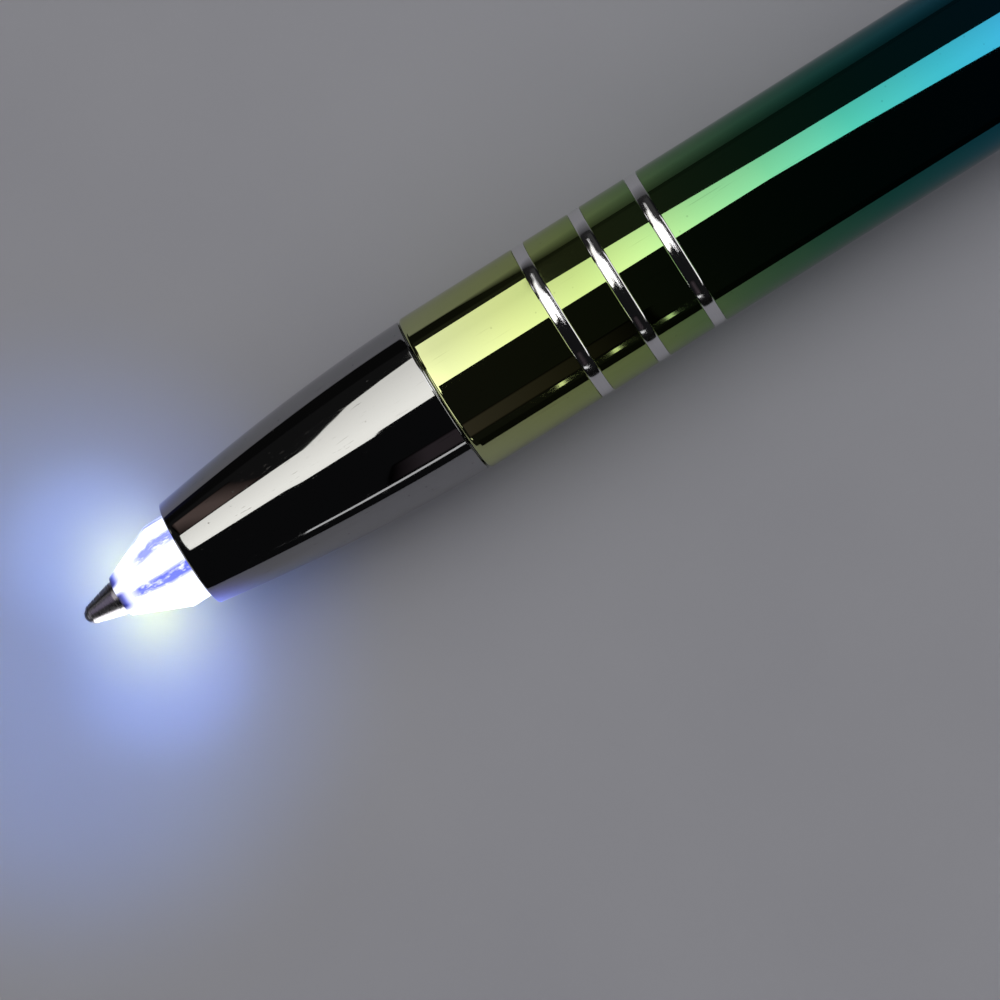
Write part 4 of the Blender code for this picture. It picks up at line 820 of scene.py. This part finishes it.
BARREL_RADIUS, BORE_RADIUS = 5.0, 4.5
LOWER_START, LOWER_END = 24.4184, 73.95
BARREL_FRONT_ROUND, BARREL_END_ROUND, FLAT_HOLD = 0.25, 0.15, 0.03
RING_COUNT, RING_FIRST, RING_PITCH, RING_WIDTH = 3, 32.4684, 3.78, 0.8
RING_SEAT, RING_SIDE_GAP = 0.3, 0.015
COAT_DRIFT, COAT_WEAR = 0.6, 0.35
COAT_COLOURS = (
    (24.3, (0.56, 0.6, 0.3)),
    (30.0, (0.5, 0.565, 0.22)),
    (35.0, (0.4, 0.51, 0.175)),
    (38.5, (0.27, 0.42, 0.155)),
    (42.0, (0.15, 0.31, 0.13)),
    (46.5, (0.066, 0.22, 0.115)),
    (52.0, (0.024, 0.165, 0.125)),
    (58.0, (0.014, 0.14, 0.17)),
    (64.0, (0.014, 0.125, 0.22)),
    (72.0, (0.022, 0.085, 0.29)),
    (82.0, (0.065, 0.055, 0.33)),
    (93.0, (0.17, 0.05, 0.36)),
    (104.0, (0.35, 0.065, 0.31)),
    (114.0, (0.47, 0.145, 0.18)),
    (124.0, (0.53, 0.33, 0.145)),
)

rainbow, tree, shader = new_finish("rainbow_coat", Metallic=1.0, Specular_Tint=(0.85, 0.85, 0.85, 1.0))
marked = mirror_marks(shader, 0.02, 0.03, 0.0002)
drift = spread(noise(own_place(tree), 140.0, 2.0), *NOISE_RANGE, -COAT_DRIFT * MM, COAT_DRIFT * MM)
drifted = number("ADD", apart(own_place(tree))["X"], drift)
first, last = COAT_COLOURS[0][0], COAT_COLOURS[-1][0]
ramp = add(tree, "ValToRGB", Fac=spread(drifted, place(first, 0).x, place(last, 0).x))
stops = ramp.color_ramp.elements
while len(stops) < len(COAT_COLOURS):
    stops.new(0.5)
for stop, (station, _) in zip(stops, COAT_COLOURS):
    stop.position = (station - first) / (last - first)
for stop, (_, colour) in zip(stops, COAT_COLOURS):
    stop.color = (*colour, 1.0)
worn = spread(marked, 0.0, 1.0, 0.0, COAT_WEAR)
feed(shader, Base_Color=blend_colours(worn, ramp.outputs["Color"], (0.5, 0.5, 0.5), "MULTIPLY"))


def tube_end(station, size, facing):
    """Outline of a barrel's rounded end: it faces the front at -1 and the rear at 1."""
    centre = station - facing * size
    hold = (centre - facing * FLAT_HOLD, BARREL_RADIUS)
    if facing < 0:
        return [*rounding(centre, BARREL_RADIUS - size, size, 180, 90, 8), hold]
    return [hold, *rounding(centre, BARREL_RADIUS - size, size, 90, 0, 8)]


def barrel_shape(start, end, front_round, end_round, *between):
    """A tube as wide as the barrel, with rounded ends and what its outline has between them."""
    front, rear = tube_end(start, front_round, -1), tube_end(end, end_round, 1)
    ends = [(start, BORE_RADIUS)], [(end, BORE_RADIUS)]
    return turned(ends[0], front, *between, rear, ends[1], segments=SHELL_SEGMENTS)


ring_stations = [RING_FIRST + RING_PITCH * i for i in range(RING_COUNT)]
half, seat_radius = RING_WIDTH / 2 + RING_SIDE_GAP, BARREL_RADIUS - RING_SEAT
seats = [land(middle - half, middle + half, BARREL_RADIUS, seat_radius) for middle in ring_stations]
barrel = barrel_shape(LOWER_START, LOWER_END, BARREL_FRONT_ROUND, BARREL_END_ROUND, *seats)
finished("barrel_tube", barrel, rainbow, "lower_body", "rainbow_coat", "lower_barrel")


# Cut rings
# Three bare rings, where a cutter has turned the coat away and left the barrel's own bright aluminium,
# slightly crowned and with a fine bevel on each side.

RING_CROWN, RING_BEVEL, RING_SHOULDER, RING_FOOT_GAP = 0.035, 0.04, 0.02, 0.01

bare_metal, _ = turned_metal(
    "cut_aluminium", 26000.0, (0.74, 0.73, 0.74), (0.84, 0.83, 0.84), 0.05, 0.12, 0.0006
)
half = RING_WIDTH / 2
crown_radius = (half**2 + RING_CROWN**2) / (2 * RING_CROWN)
crown_angle = math.degrees(math.asin((half - RING_BEVEL) / crown_radius))
crown_angles = 90 + crown_angle, 90 - crown_angle
for count, middle in enumerate(ring_stations, start=1):
    side = [
        (middle - half, BARREL_RADIUS - RING_SEAT + RING_FOOT_GAP),
        (middle - half, BARREL_RADIUS - RING_CROWN - RING_SHOULDER),
    ]
    crown = rounding(middle, BARREL_RADIUS - crown_radius, crown_radius, *crown_angles, 10)
    other_side = [(2 * middle - station, radius) for station, radius in reversed(side)]
    ring = turned(side, crown, other_side, segments=SHELL_SEGMENTS)
    finished(f"cut_ring_{count}", ring, bare_metal, "lower_body", "trim_chrome")


# Centre band
# A turned brass ring in bright chrome between the two barrels. Its front half is the bearing that the
# upper barrel twists on, and its rear half is pressed into the upper barrel.

BAND_START, BAND_END, BAND_ROUND = 74.0, 76.0, 0.25
BEARING_START, BEARING_RADIUS, BAND_SPIGOT_END, BAND_BORE = 70.5, 4.42, 78.5, 3.94

bright_chrome, _, shader = new_finish("bright_chrome", Metallic=1.0)
marked = mirror_marks(shader, 0.035, 0.17, 0.002)
feed(shader, Base_Color=blend_colours(marked, (0.62, 0.615, 0.625), (0.48, 0.47, 0.47)))

band = turned(
    (BEARING_START, BEARING_RADIUS),
    [(BAND_START, BEARING_RADIUS)],
    tube_end(BAND_START, BAND_ROUND, -1),
    tube_end(BAND_END, BAND_ROUND, 1),
    [(BAND_END, SEATED_RADIUS)],
    (BAND_SPIGOT_END, BAND_BORE),
    segments=SHELL_SEGMENTS,
)
finished("twist_band", band, bright_chrome, "upper_body", "trim_chrome", "centre_band")


# Battery
# Three nickel-plated button cells in a white moulded sleeve. A steel coil presses on the first cell's cap,
# and a brass disc with a stud behind the last one leads to the switch.

BATTERY_COIL = {"radius": 2.43, "wire": 0.35, "start": 85.05, "length": 4.8, "turns": 4}
SLEEVE_START, SLEEVE_END, SLEEVE_BORE = 86.05, 101.25, 4.03
LIP_START, LIP_END, LIP_RADIUS = 88.85, 89.85, 3.3
CELL_COUNT, CELLS_START, CELL_STEP, CELL_HEIGHT, CELL_RADIUS = 3, 89.9, 3.65, 3.6, 3.95
CAP_RADIUS, CAP_HEIGHT, CAP_ROUND, CAN_ROUND = 3.3, 0.4, 0.15, 0.25
SEAL_RADIUS, SEAL_DEPTH, SEAL_EDGE = 3.5, 0.12, 0.01
DISC_START, DISC_END, STUD_END, STUD_RADIUS = 100.85, 101.25, 105.45, 0.8

finished("battery_coil", coil(**BATTERY_COIL), spring_steel, "upper_body", "spring_steel", "battery_spring")

sleeve = turned(
    (SLEEVE_START, SEATED_RADIUS),
    (SLEEVE_END, SLEEVE_BORE),
    (LIP_END, LIP_RADIUS),
    (LIP_START, SLEEVE_BORE),
    edge=0.06,
)
finished("cell_sleeve", sleeve, white_plastic, "upper_body", "white_plastic", "battery_sleeve")

cell_nickel, shader = turned_metal(
    "cell_nickel", 15000.0, (0.55, 0.55, 0.54), (0.63, 0.62, 0.61), 0.18, 0.3, 0.0006
)
dull(shader, 300.0, (0.44, 0.43, 0.41))
_, _, radius = round_axis(shader.id_data)
seal = product(
    number("GREATER_THAN", radius, (CAP_RADIUS + SEAL_EDGE) * MM),
    number("LESS_THAN", radius, (SEAL_RADIUS - SEAL_EDGE) * MM),
)
lay_over(shader, seal, (0.03, 0.03, 0.035))
feed(shader, Metallic=spread(seal, 0.0, 1.0, 1.0, 0.0))

for count in range(CELL_COUNT):
    front = CELLS_START + count * CELL_STEP
    can_front, rear = front + CAP_HEIGHT, front + CELL_HEIGHT
    cell = turned(
        [(front, 0)],
        rounding(front + CAP_ROUND, CAP_RADIUS - CAP_ROUND, CAP_ROUND, 180, 90),
        (can_front + SEAL_DEPTH, SEAL_RADIUS),
        [(can_front, SEAL_RADIUS)],
        rounding(can_front + CAN_ROUND, CELL_RADIUS - CAN_ROUND, CAN_ROUND, 180, 90),
        rounding(rear - CAN_ROUND, CELL_RADIUS - CAN_ROUND, CAN_ROUND, 90, 0),
        [(rear, 0)],
    )
    finished(f"cell_{count + 1}", cell, cell_nickel, "upper_body", "cell_steel", f"button_cell_{count + 1}")

disc = turned((DISC_START, CELL_RADIUS), (DISC_END, STUD_RADIUS), (STUD_END, 0), edge=0.06)
finished("cell_contact", disc, brass, "upper_body", "contact_brass", "contact_disc")


# Push switch
# A black moulded housing round the stud, a brass plunger that slides in it, and the steel coil that
# pushes the stylus out again. In the pen the coil shortens as the stylus is pressed; here it only gets a
# mesh of its own.

SWITCH_START, SWITCH_END, SWITCH_BORE_START = 101.3, 110.7, 102.7
SWITCH_BORE, STUD_HOLE = 1.6, 0.85
PLUNGER_START, PLUNGER_END, PLUNGER_RADIUS = 106.7, 114.6, 1.52
BUTTON_COIL = {"radius": 2.77, "wire": 0.4, "start": 110.75, "length": 4.8, "turns": 4}

black_plastic, _ = moulded(
    "black_plastic", 5200.0, (0.022, 0.022, 0.023), (0.04, 0.04, 0.042), 0.4, 0.56, 0.004
)

switch = turned(
    (SWITCH_START, SEATED_RADIUS), (SWITCH_END, SWITCH_BORE), (SWITCH_BORE_START, STUD_HOLE), edge=0.1
)
finished("switch_body", switch, black_plastic, "upper_body", "black_plastic", "switch_housing")

plunger = turned((PLUNGER_START, PLUNGER_RADIUS), (PLUNGER_END, 0), edge=0.12)
finished("plunger", plunger, brass, "stylus_button", "contact_brass", "switch_plunger")

button_coil = finished(
    "button_coil", coil(**BUTTON_COIL), spring_steel, "upper_body", "spring_steel", "button_spring"
)
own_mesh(button_coil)


# Upper barrel
# The same tube and coat as the lower barrel. Its colour goes on from blue through violet to copper, and
# its ends are broken by a small round.

UPPER_START, UPPER_END = 76.05, 123.85

upper = barrel_shape(UPPER_START, UPPER_END, BARREL_END_ROUND, BARREL_END_ROUND)
finished("upper_tube", upper, rainbow, "upper_body", "rainbow_coat", "upper_barrel")


# Clip
# A spring steel strip in bright chrome, bent out of a band that the top collar holds on the barrel. It
# dips to a bead that grips a pocket's hem, and its end turns up and is rounded off.

CLIP_BAND_START, CLIP_BAND_END, CLIP_BAND_EDGE = 123.9, 125.4, 0.1
CLIP_ROOT, CLIP_FOOT_RADIUS = 124.65, 4.6
CLIP_BEND, CLIP_FLAT_HEIGHT = 1.4, 7.75
DIP_START, BEAD_STATION, BEAD_HEIGHT = 100.0, 91.0, 5.75
CLIP_END_STATION, CLIP_FLICK = 88.4, 1.0
CLIP_ROOT_WIDTH, CLIP_END_WIDTH, CLIP_END_ROUND = 4.8, 3.6, 1.4
CLIP_THICKNESS, CLIP_EDGE_ROUND, CLIP_EDGE_ANGLE = 0.8, 0.3, math.radians(40)
CLIP_COLUMNS, CLIP_STEPS = 12, 14

clip_path = [(CLIP_ROOT, CLIP_FOOT_RADIUS)]
clip_path += rounding(CLIP_ROOT - CLIP_BEND, CLIP_FLAT_HEIGHT - CLIP_BEND, CLIP_BEND, 0, 90, CLIP_STEPS)
for i in range(CLIP_STEPS + 1):
    station = DIP_START + (BEAD_STATION - DIP_START) * i / CLIP_STEPS
    drop = (1 - math.cos(math.pi * i / CLIP_STEPS)) / 2
    clip_path.append((station, CLIP_FLAT_HEIGHT + (BEAD_HEIGHT - CLIP_FLAT_HEIGHT) * drop))
for i in range(1, CLIP_STEPS + 1):
    share = math.sin(math.pi / 2 * i / CLIP_STEPS)
    station = BEAD_STATION + (CLIP_END_STATION - BEAD_STATION) * share
    clip_path.append((station, BEAD_HEIGHT + CLIP_FLICK * share**2))


def clip_half_width(station):
    """Half the strip's width: it narrows to the free end, whose corners are rounded off."""
    share = (CLIP_ROOT - station) / (CLIP_ROOT - CLIP_END_STATION)
    half = (CLIP_ROOT_WIDTH + (CLIP_END_WIDTH - CLIP_ROOT_WIDTH) * share) / 2
    from_end = min(station - CLIP_END_STATION, CLIP_END_ROUND)
    return half - CLIP_END_ROUND + math.sqrt(max(CLIP_END_ROUND**2 - (CLIP_END_ROUND - from_end) ** 2, 0.0))


strip = bmesh.new()
clip_rows = len(clip_path) - 1
bmesh.ops.create_grid(strip, x_segments=clip_rows, y_segments=CLIP_COLUMNS, size=0.5)
for vert in strip.verts:
    row = round((vert.co.x + 0.5) * clip_rows)
    station, height = clip_path[row]
    side = 2 * vert.co.y * clip_half_width(station)
    if row == 0:
        height = math.sqrt(CLIP_FOOT_RADIUS**2 - side**2)
    vert.co = place(station, height) + Vector((0, side * MM, 0))
clip_strip = finished("clip_strip", rolled(strip), bright_chrome, "upper_body", "trim_chrome", "clip")
wall = clip_strip.modifiers.new("thickness", "SOLIDIFY")
wall.thickness, wall.offset, wall.use_even_offset = CLIP_THICKNESS * MM, 0.0, True
edge = clip_strip.modifiers.new("edges", "BEVEL")
edge.width, edge.segments = CLIP_EDGE_ROUND * MM, 4
edge.limit_method, edge.angle_limit = "ANGLE", CLIP_EDGE_ANGLE

clip_band = barrel_shape(CLIP_BAND_START, CLIP_BAND_END, CLIP_BAND_EDGE, CLIP_BAND_EDGE)
finished("clip_band", clip_band, bright_chrome, "upper_body", "trim_chrome")


# Top collar
# A turned brass end piece in bright chrome. Its spigot is screwed into the upper barrel, which clamps the
# clip's band, and it tapers to the bore that the stylus stem slides in.

COLLAR_SPIGOT_START, COLLAR_START, COLLAR_ROUND, COLLAR_BORE = 117.15, 125.45, 0.35, 3.33
COLLAR_STRAIGHT_END, COLLAR_BEND, COLLAR_BEND_ANGLE = 127.05, 1.5, 75.8
COLLAR_END, COLLAR_END_RADIUS, COLLAR_END_ANGLE = 131.25, 4.0, 75

end_centre = COLLAR_END - COLLAR_ROUND, COLLAR_END_RADIUS - COLLAR_ROUND
collar = turned(
    (COLLAR_SPIGOT_START, SEATED_RADIUS),
    [(COLLAR_START, SEATED_RADIUS)],
    rounding(COLLAR_START + COLLAR_ROUND, BARREL_RADIUS - COLLAR_ROUND, COLLAR_ROUND, 180, 90, 8),
    rounding(COLLAR_STRAIGHT_END, BARREL_RADIUS - COLLAR_BEND, COLLAR_BEND, 90, COLLAR_BEND_ANGLE),
    rounding(*end_centre, COLLAR_ROUND, COLLAR_END_ANGLE, 0, 10),
    [(COLLAR_END, COLLAR_BORE)],
    segments=SHELL_SEGMENTS,
)
finished("end_collar", collar, bright_chrome, "upper_body", "trim_chrome", "top_collar")


# Stylus stem
# A turned brass stem in bright chrome. Its socket takes the switch's plunger, its flange stops it behind
# the collar's spigot, and the rubber tip is stretched over its barbed stub.

STEM_START, STEM_SOCKET_RADIUS, STEM_SOCKET_END, STEM_NECK_RADIUS = 112.6, 1.57, 114.65, 2.27
STEM_FLANGE_START, STEM_FLANGE_END, STEM_FLANGE_RADIUS = 115.6, 117.1, 4.42
STEM_RADIUS, STEM_END = 3.25, 132.75
STUB_RADIUS, STUB_BARB, BARB_STATION, STUB_END = 1.9, 0.25, 134.35, 135.95

stem = turned(
    (STEM_SOCKET_END, STEM_SOCKET_RADIUS),
    (STEM_START, STEM_NECK_RADIUS),
    (STEM_FLANGE_START, STEM_FLANGE_RADIUS),
    (STEM_FLANGE_END, STEM_RADIUS),
    (STEM_END, STUB_RADIUS),
    (BARB_STATION, STUB_RADIUS + STUB_BARB),
    [(STUB_END, STUB_RADIUS), (STUB_END, 0)],
    segments=SHELL_SEGMENTS,
    edge=0.06,
)
finished("stylus_stem", stem, bright_chrome, "stylus_button", "trim_chrome", "stylus_holder")


# Stylus tip
# A hollow dome of matt conductive rubber on the stem's stub. It picks up dust and skin marks, which show
# as paler patches.

RUBBER_START, SKIRT_END, RUBBER_RADIUS, RUBBER_WALL = 132.8, 136.15, 3.5, 0.9
SKIRT_ROUND, STUB_BORE, DOME_STEPS = 0.3, 2.23, 20
DUST_SHARE = 0.5

rubber, shader = moulded("matt_rubber", 7000.0, (0.016, 0.016, 0.018), (0.03, 0.03, 0.032), 0.5, 0.72, 0.006)
dust = use_group(shader.id_data, handling_marks, Length=2500.0, Fineness=2500.0)["Scratches"]
lay_over(shader, number("MULTIPLY", dust, DUST_SHARE), (0.12, 0.12, 0.12))

hollow = RUBBER_RADIUS - RUBBER_WALL
rubber_outline = [
    *rounding(SKIRT_END, 0, hollow, 0, 90, DOME_STEPS),
    (SKIRT_END, STUB_BORE),
    (RUBBER_START, STUB_BORE),
    *rounding(RUBBER_START + SKIRT_ROUND, RUBBER_RADIUS - SKIRT_ROUND, SKIRT_ROUND, 180, 90, 8),
    *rounding(SKIRT_END, 0, RUBBER_RADIUS, 90, 0, DOME_STEPS),
]
rubber_outline[0] = (SKIRT_END + hollow, 0)
rubber_outline[-1] = (SKIRT_END + RUBBER_RADIUS, 0)
dome = turned(rubber_outline, segments=SHELL_SEGMENTS)
finished("stylus_dome", dome, rubber, "stylus_button", "stylus_rubber", "stylus_tip")


# Table
# A plain pale table top, faintly mottled, that reaches far past the pen on every side. The pen lies on it
# on its barrel and its clip.

TABLE_HALF = 15.0


def sheet(name, corners, material):
    """A flat sheet that stands in the scene beside the pen."""
    bm = bmesh.new()
    bm.faces.new([bm.verts.new(corner) for corner in corners])
    flat = as_object(name, bm)
    flat.data.materials.append(material)
    return flat


table, tree, shader = new_finish("pale_table", Specular_IOR_Level=0.3, Roughness=0.6)
mottle = spread(noise(own_place(tree), 40.0, 3.0), *NOISE_RANGE)
feed(shader, Base_Color=blend_colours(mottle, (0.38, 0.38, 0.428), (0.41, 0.41, 0.457)))
quarters = ((-1, -1), (1, -1), (1, 1), (-1, 1))
table_top = sheet("table_top", [(x * TABLE_HALF, y * TABLE_HALF, 0) for x, y in quarters], table)


# Window and light cards
# What lights the pen and shows in its mirror finish: a bright window over one side, the dim horizon behind
# it, and glowing cards all round. Their corners are angles along the pen and across it.

LIGHT_HEIGHT, HORIZON_HEIGHT, CARDS_STATION = 2.5, 2.625, 30.0
WHITE = (1.0, 1.0, 1.0)
WINDOW_CORNERS = (
    (6.0, -8.0), (6.0, 33.0), (3.9, 38.0), (1.2, 43.0), (-0.3, 48.0), (-2.04, 52.0), (-2.08, 77.0),
    (-4.2, 77.0), (-4.3, 66.0), (-8.0, 63.0), (-11.0, 58.7), (-13.4, 48.7), (-15.3, 40.5), (-24.5, 40.5),
    (-24.5, 3.0), (-18.4, 2.5), (-17.2, 0.0), (-11.5, 0.0), (-11.0, 3.0), (-4.3, 4.0), (-4.2, 11.2),
    (1.2, 11.2), (2.6, 7.0), (3.8, 2.0),
)
WINDOW_STRENGTH, WINDOW_FADE = 1.55, (11.3, 58.0, 1.0, 0.72)
NOSE_PART, NOSE_BOOST, NOSE_WARMTH = (-3.9, -3.5), (1.35, 1.12), (1.0, 0.99, 0.92)
REAR_BOOST = (-1.6, 2.0, 1.0, 2.1)
HORIZON_ALONG, HORIZON_ACROSS, HORIZON_LEVEL = (10.0, -30.0), (20.0, 84.0), (-4.0, 2.0, 0.013, 0.036)
LIGHT_CARDS = (
    ("edge_light", (-16.0, -4.2), (-74.2, -77.4), 1.0, WHITE, 0.0),
    ("dim_card", (-11.0, -1.0), (-48.0, -72.5), 0.045, (1.0, 0.8, 0.9), 3.0),
    ("warm_card", (-24.0, -18.0), (41.0, 71.0), 0.16, (1.0, 0.72, 0.64), 2.5),
    ("nib_card", (-26.0, -42.0), (56.0, 72.0), 1.2, WHITE, 6.0),
    ("front_fill", (-36.0, -66.0), (45.0, -62.0), 1.1, WHITE, 0.0),
    ("rear_fill", (16.0, 66.0), (50.0, -64.0), 1.1, WHITE, 0.0),
)
GLINT_ANGLES, GLINT_HALF, GLINT_ACROSS, GLINT_STRENGTH = (-2.42, -1.67, -0.92), 0.045, (-73.5, -80.0), 1.4


def bare_finish(name):
    """A material with no nodes yet, and its node tree."""
    material, tree, _ = new_finish(name)
    tree.nodes.clear()
    return material, tree


def light_card(name, corners, strength, colour=WHITE, height=LIGHT_HEIGHT):
    """A glowing card overhead that lights the pen and shows in its finish, but not to the camera.

    Each corner is its angle along the pen and its angle across it, in degrees from straight up.
    """
    points = []
    for along, across in [[math.radians(angle) for angle in corner] for corner in corners]:
        slope = Vector((math.tan(along) / math.cos(across), math.tan(across), 1.0))
        points.append(place(CARDS_STATION, 0) + slope * height)
    material, tree = bare_finish(name)
    lamp = add(tree, "Emission", Color=(*colour, 1.0), Strength=strength)
    add(tree, "OutputMaterial", Surface=lamp.outputs["Emission"])
    sheet(name, points, material).visible_camera = False
    return lamp


def square(along, across):
    """The corners of a card between two angles along the pen and two across it."""
    return [(along[i], across[j]) for i, j in ((0, 0), (1, 0), (1, 1), (0, 1))]


def card_angles(lamp):
    """A card's angles along the pen and across it, in degrees, from the place on it."""
    middle = place(CARDS_STATION, 0)
    x, y, z = (number("SUBTRACT", *pair) for pair in zip(apart(own_place(lamp.id_data)), middle))
    along = number("DEGREES", number("ARCTAN2", x, distance(y, z)))
    return along, number("DEGREES", number("ARCTAN2", y, z))


lamp = light_card("window_light", WINDOW_CORNERS, WINDOW_STRENGTH)
along, across = card_angles(lamp)
boost = product(spread(along, *NOSE_PART, *NOSE_BOOST), spread(along, *REAR_BOOST))
feed(
    lamp,
    Strength=product(WINDOW_STRENGTH, spread(across, *WINDOW_FADE), boost),
    Color=blend_colours(spread(along, *NOSE_PART, 1.0, 0.0), WHITE, NOSE_WARMTH),
)
lamp = light_card("horizon", square(HORIZON_ALONG, HORIZON_ACROSS), 0.0, height=HORIZON_HEIGHT)
feed(lamp, Strength=spread(card_angles(lamp)[0], *HORIZON_LEVEL))
for name, along, across, strength, colour, soft_edge in LIGHT_CARDS:
    lamp = light_card(name, square(along, across), strength, colour)
    if soft_edge:
        for angle, ends in zip(card_angles(lamp), (sorted(along), sorted(across))):
            rise = spread(angle, ends[0], ends[0] + soft_edge)
            strength = product(strength, rise, spread(angle, ends[1] - soft_edge, ends[1], 1.0, 0.0))
        feed(lamp, Strength=strength)
for angle in GLINT_ANGLES:
    light_card("glint_light", square((angle - GLINT_HALF, angle + GLINT_HALF), GLINT_ACROSS), GLINT_STRENGTH)

world = bpy.data.worlds.new("studio")
bpy.context.scene.world = world
world.use_nodes = True
feed(world.node_tree.nodes["Background"], Color=(0.9, 0.92, 1.0, 1.0), Strength=0.008)


# Light of the tip
# What the lit tip throws round itself: a wide blue halo with two small pale glows on the table, and a rim
# of light on the nib and the ball.

GLOW_LAMPS = (
    ("tip_halo", -3.7, -0.6, 21.9, (45.3, 0.73), 0.0115, (0.16, 0.385, 1.0)),
    ("near_halo", 1.6, -4.6, 8.6, (41.7, 0.77), 0.00186, (0.235, 0.38, 1.0)),
    ("far_halo", 1.5, 3.6, 8.3, (40.2, 0.74), 0.00173, (0.31, 0.46, 1.0)),
    ("near_glow", 2.8, -2.0, 2.6, (71.8, 0.46), 0.00037, (0.93, 1.0, 0.11)),
    ("far_glow", 2.9, 1.9, 2.56, (65.0, 0.46), 0.00022, (0.91, 1.0, 0.12)),
)
GLOW_LAMP_SIZE = 0.5
NIB_LAMPS = (
    ("nib_rim", 0.6, -2.8, 4.4, (5.0, 5.0), 6e-4, WHITE),
    ("nib_tint", -1.0, 1.6, 9.0, (6.0, 3.5), 4e-5, (0.6, 0.5, 0.85)),
)


def glow_lamp(light, station, side, height, *lit):
    """A lamp for the tip's light. It shines only on the pieces given, and isn't seen itself."""
    lamp = in_scene(light.name, light)
    lamp.location = place(station, 0) + Vector((0, side * MM, height * MM - AXIS.z))
    lamp.visible_camera = False
    lit_only = bpy.data.collections.new(light.name)
    for piece in lit:
        lit_only.objects.link(piece)
    lamp.light_linking.receiver_collection = lit_only
    return lamp


for name, station, side, height, (half_cone, soft), power, colour in GLOW_LAMPS:
    light = bpy.data.lights.new(name, "SPOT")
    light.energy, light.color, light.shadow_soft_size = power, colour, GLOW_LAMP_SIZE * MM
    light.spot_size, light.spot_blend, light.use_shadow = math.radians(2 * half_cone), soft, False
    glow_lamp(light, station, side, height, table_top)

for name, station, side, height, size, power, colour in NIB_LAMPS:
    light = bpy.data.lights.new(name, "AREA")
    light.shape = "RECTANGLE"
    light.size, light.size_y = (length * MM for length in size)
    light.energy, light.color, light.use_shadow = power, colour, False
    lamp = glow_lamp(light, station, side, height, nib, ball)
    towards_nib = place(station, 0) - lamp.location
    lamp.rotation_euler = (math.atan2(towards_nib.y, -towards_nib.z), 0, 0)


# Shade cards
# Two upright cards, one on each side of the pen, as a photographer stands them beside bright metal. They
# are seen only in the finish, where they are painted shade in its reflections: a dark, faintly glowing fade
# that hides the far table.

SHADES = (
    ("window_side_shade", 12.0, (23.5, 23.7, 5.4, 7.0), (27.0, 38.0, 0.4, 6.0), (27.0, 50.0, 0.006, 0.034)),
    ("near_side_shade", -12.0, (24.0, 24.4, 20.0, 7.5), (0.0, 1.0, 0.2, 0.2), (0.0, 1.0, 0.004, 0.004)),
)
SHADE_LOW, SHADE_HIGH, SHADE_FRONT, SHADE_REAR = 1.0, 9.6, -20.0, 110.0

for name, side, *along_pen in SHADES:
    # The edge's height, how far it fades and the card's brightness each change from one station to another.
    material, tree = bare_finish(name)
    x, _, z = apart(own_place(tree))
    edge_height, fade, glow = (
        spread(x, place(first, 0).x, place(last, 0).x, low, high) for first, last, low, high in along_pen
    )
    above = number("DIVIDE", number("SUBTRACT", number("DIVIDE", z, MM), edge_height), fade)
    mixed = add(tree, "MixShader", Fac=spread(above, -0.5, 0.5))
    fill(mixed.inputs[1], add(tree, "BsdfTransparent").outputs["BSDF"])
    fill(mixed.inputs[2], add(tree, "Emission", Strength=glow).outputs["Emission"])
    add(tree, "OutputMaterial", Surface=mixed.outputs["Shader"])
    corners = square((SHADE_FRONT, SHADE_REAR), (SHADE_LOW, SHADE_HIGH))
    points = [(place(station, 0).x, AXIS.y + side * MM, height * MM) for station, height in corners]
    card = sheet(name, points, material)
    card.visible_camera = card.visible_diffuse = card.visible_shadow = card.visible_transmission = False


# Camera
# It looks down on the writing end from above the barrel, through a long lens, and is rolled so that the
# pen lies aslant.

CAMERA_STATION, CAMERA_HEIGHT, CAMERA_LENS, CAMERA_SENSOR = 42.6, 286.0, 180.0, 36.0
CENTRE_STATION, CENTRE_SIDE = 23.93, -6.84
CAMERA_ROLL = math.radians(32.02)

lens_data = bpy.data.cameras.new("camera")
lens_data.lens, lens_data.sensor_width = CAMERA_LENS, CAMERA_SENSOR
lens_data.clip_start, lens_data.clip_end = 0.01, 100.0
camera = in_scene("camera", lens_data)
stand = place(CAMERA_STATION, CAMERA_HEIGHT) + Vector((0, CENTRE_SIDE * MM, 0))
aim = place(CENTRE_STATION, 0) + Vector((0, CENTRE_SIDE * MM, 0))
back = (stand - aim).normalized()
upward = Vector((math.sin(CAMERA_ROLL), math.cos(CAMERA_ROLL), 0))
right = upward.cross(back).normalized()
turn = Matrix((right, back.cross(right), back)).transposed().to_4x4()
camera.matrix_world = Matrix.Translation(stand) @ turn
bpy.context.scene.camera = camera
bpy.context.scene.view_settings.view_transform = "Standard"
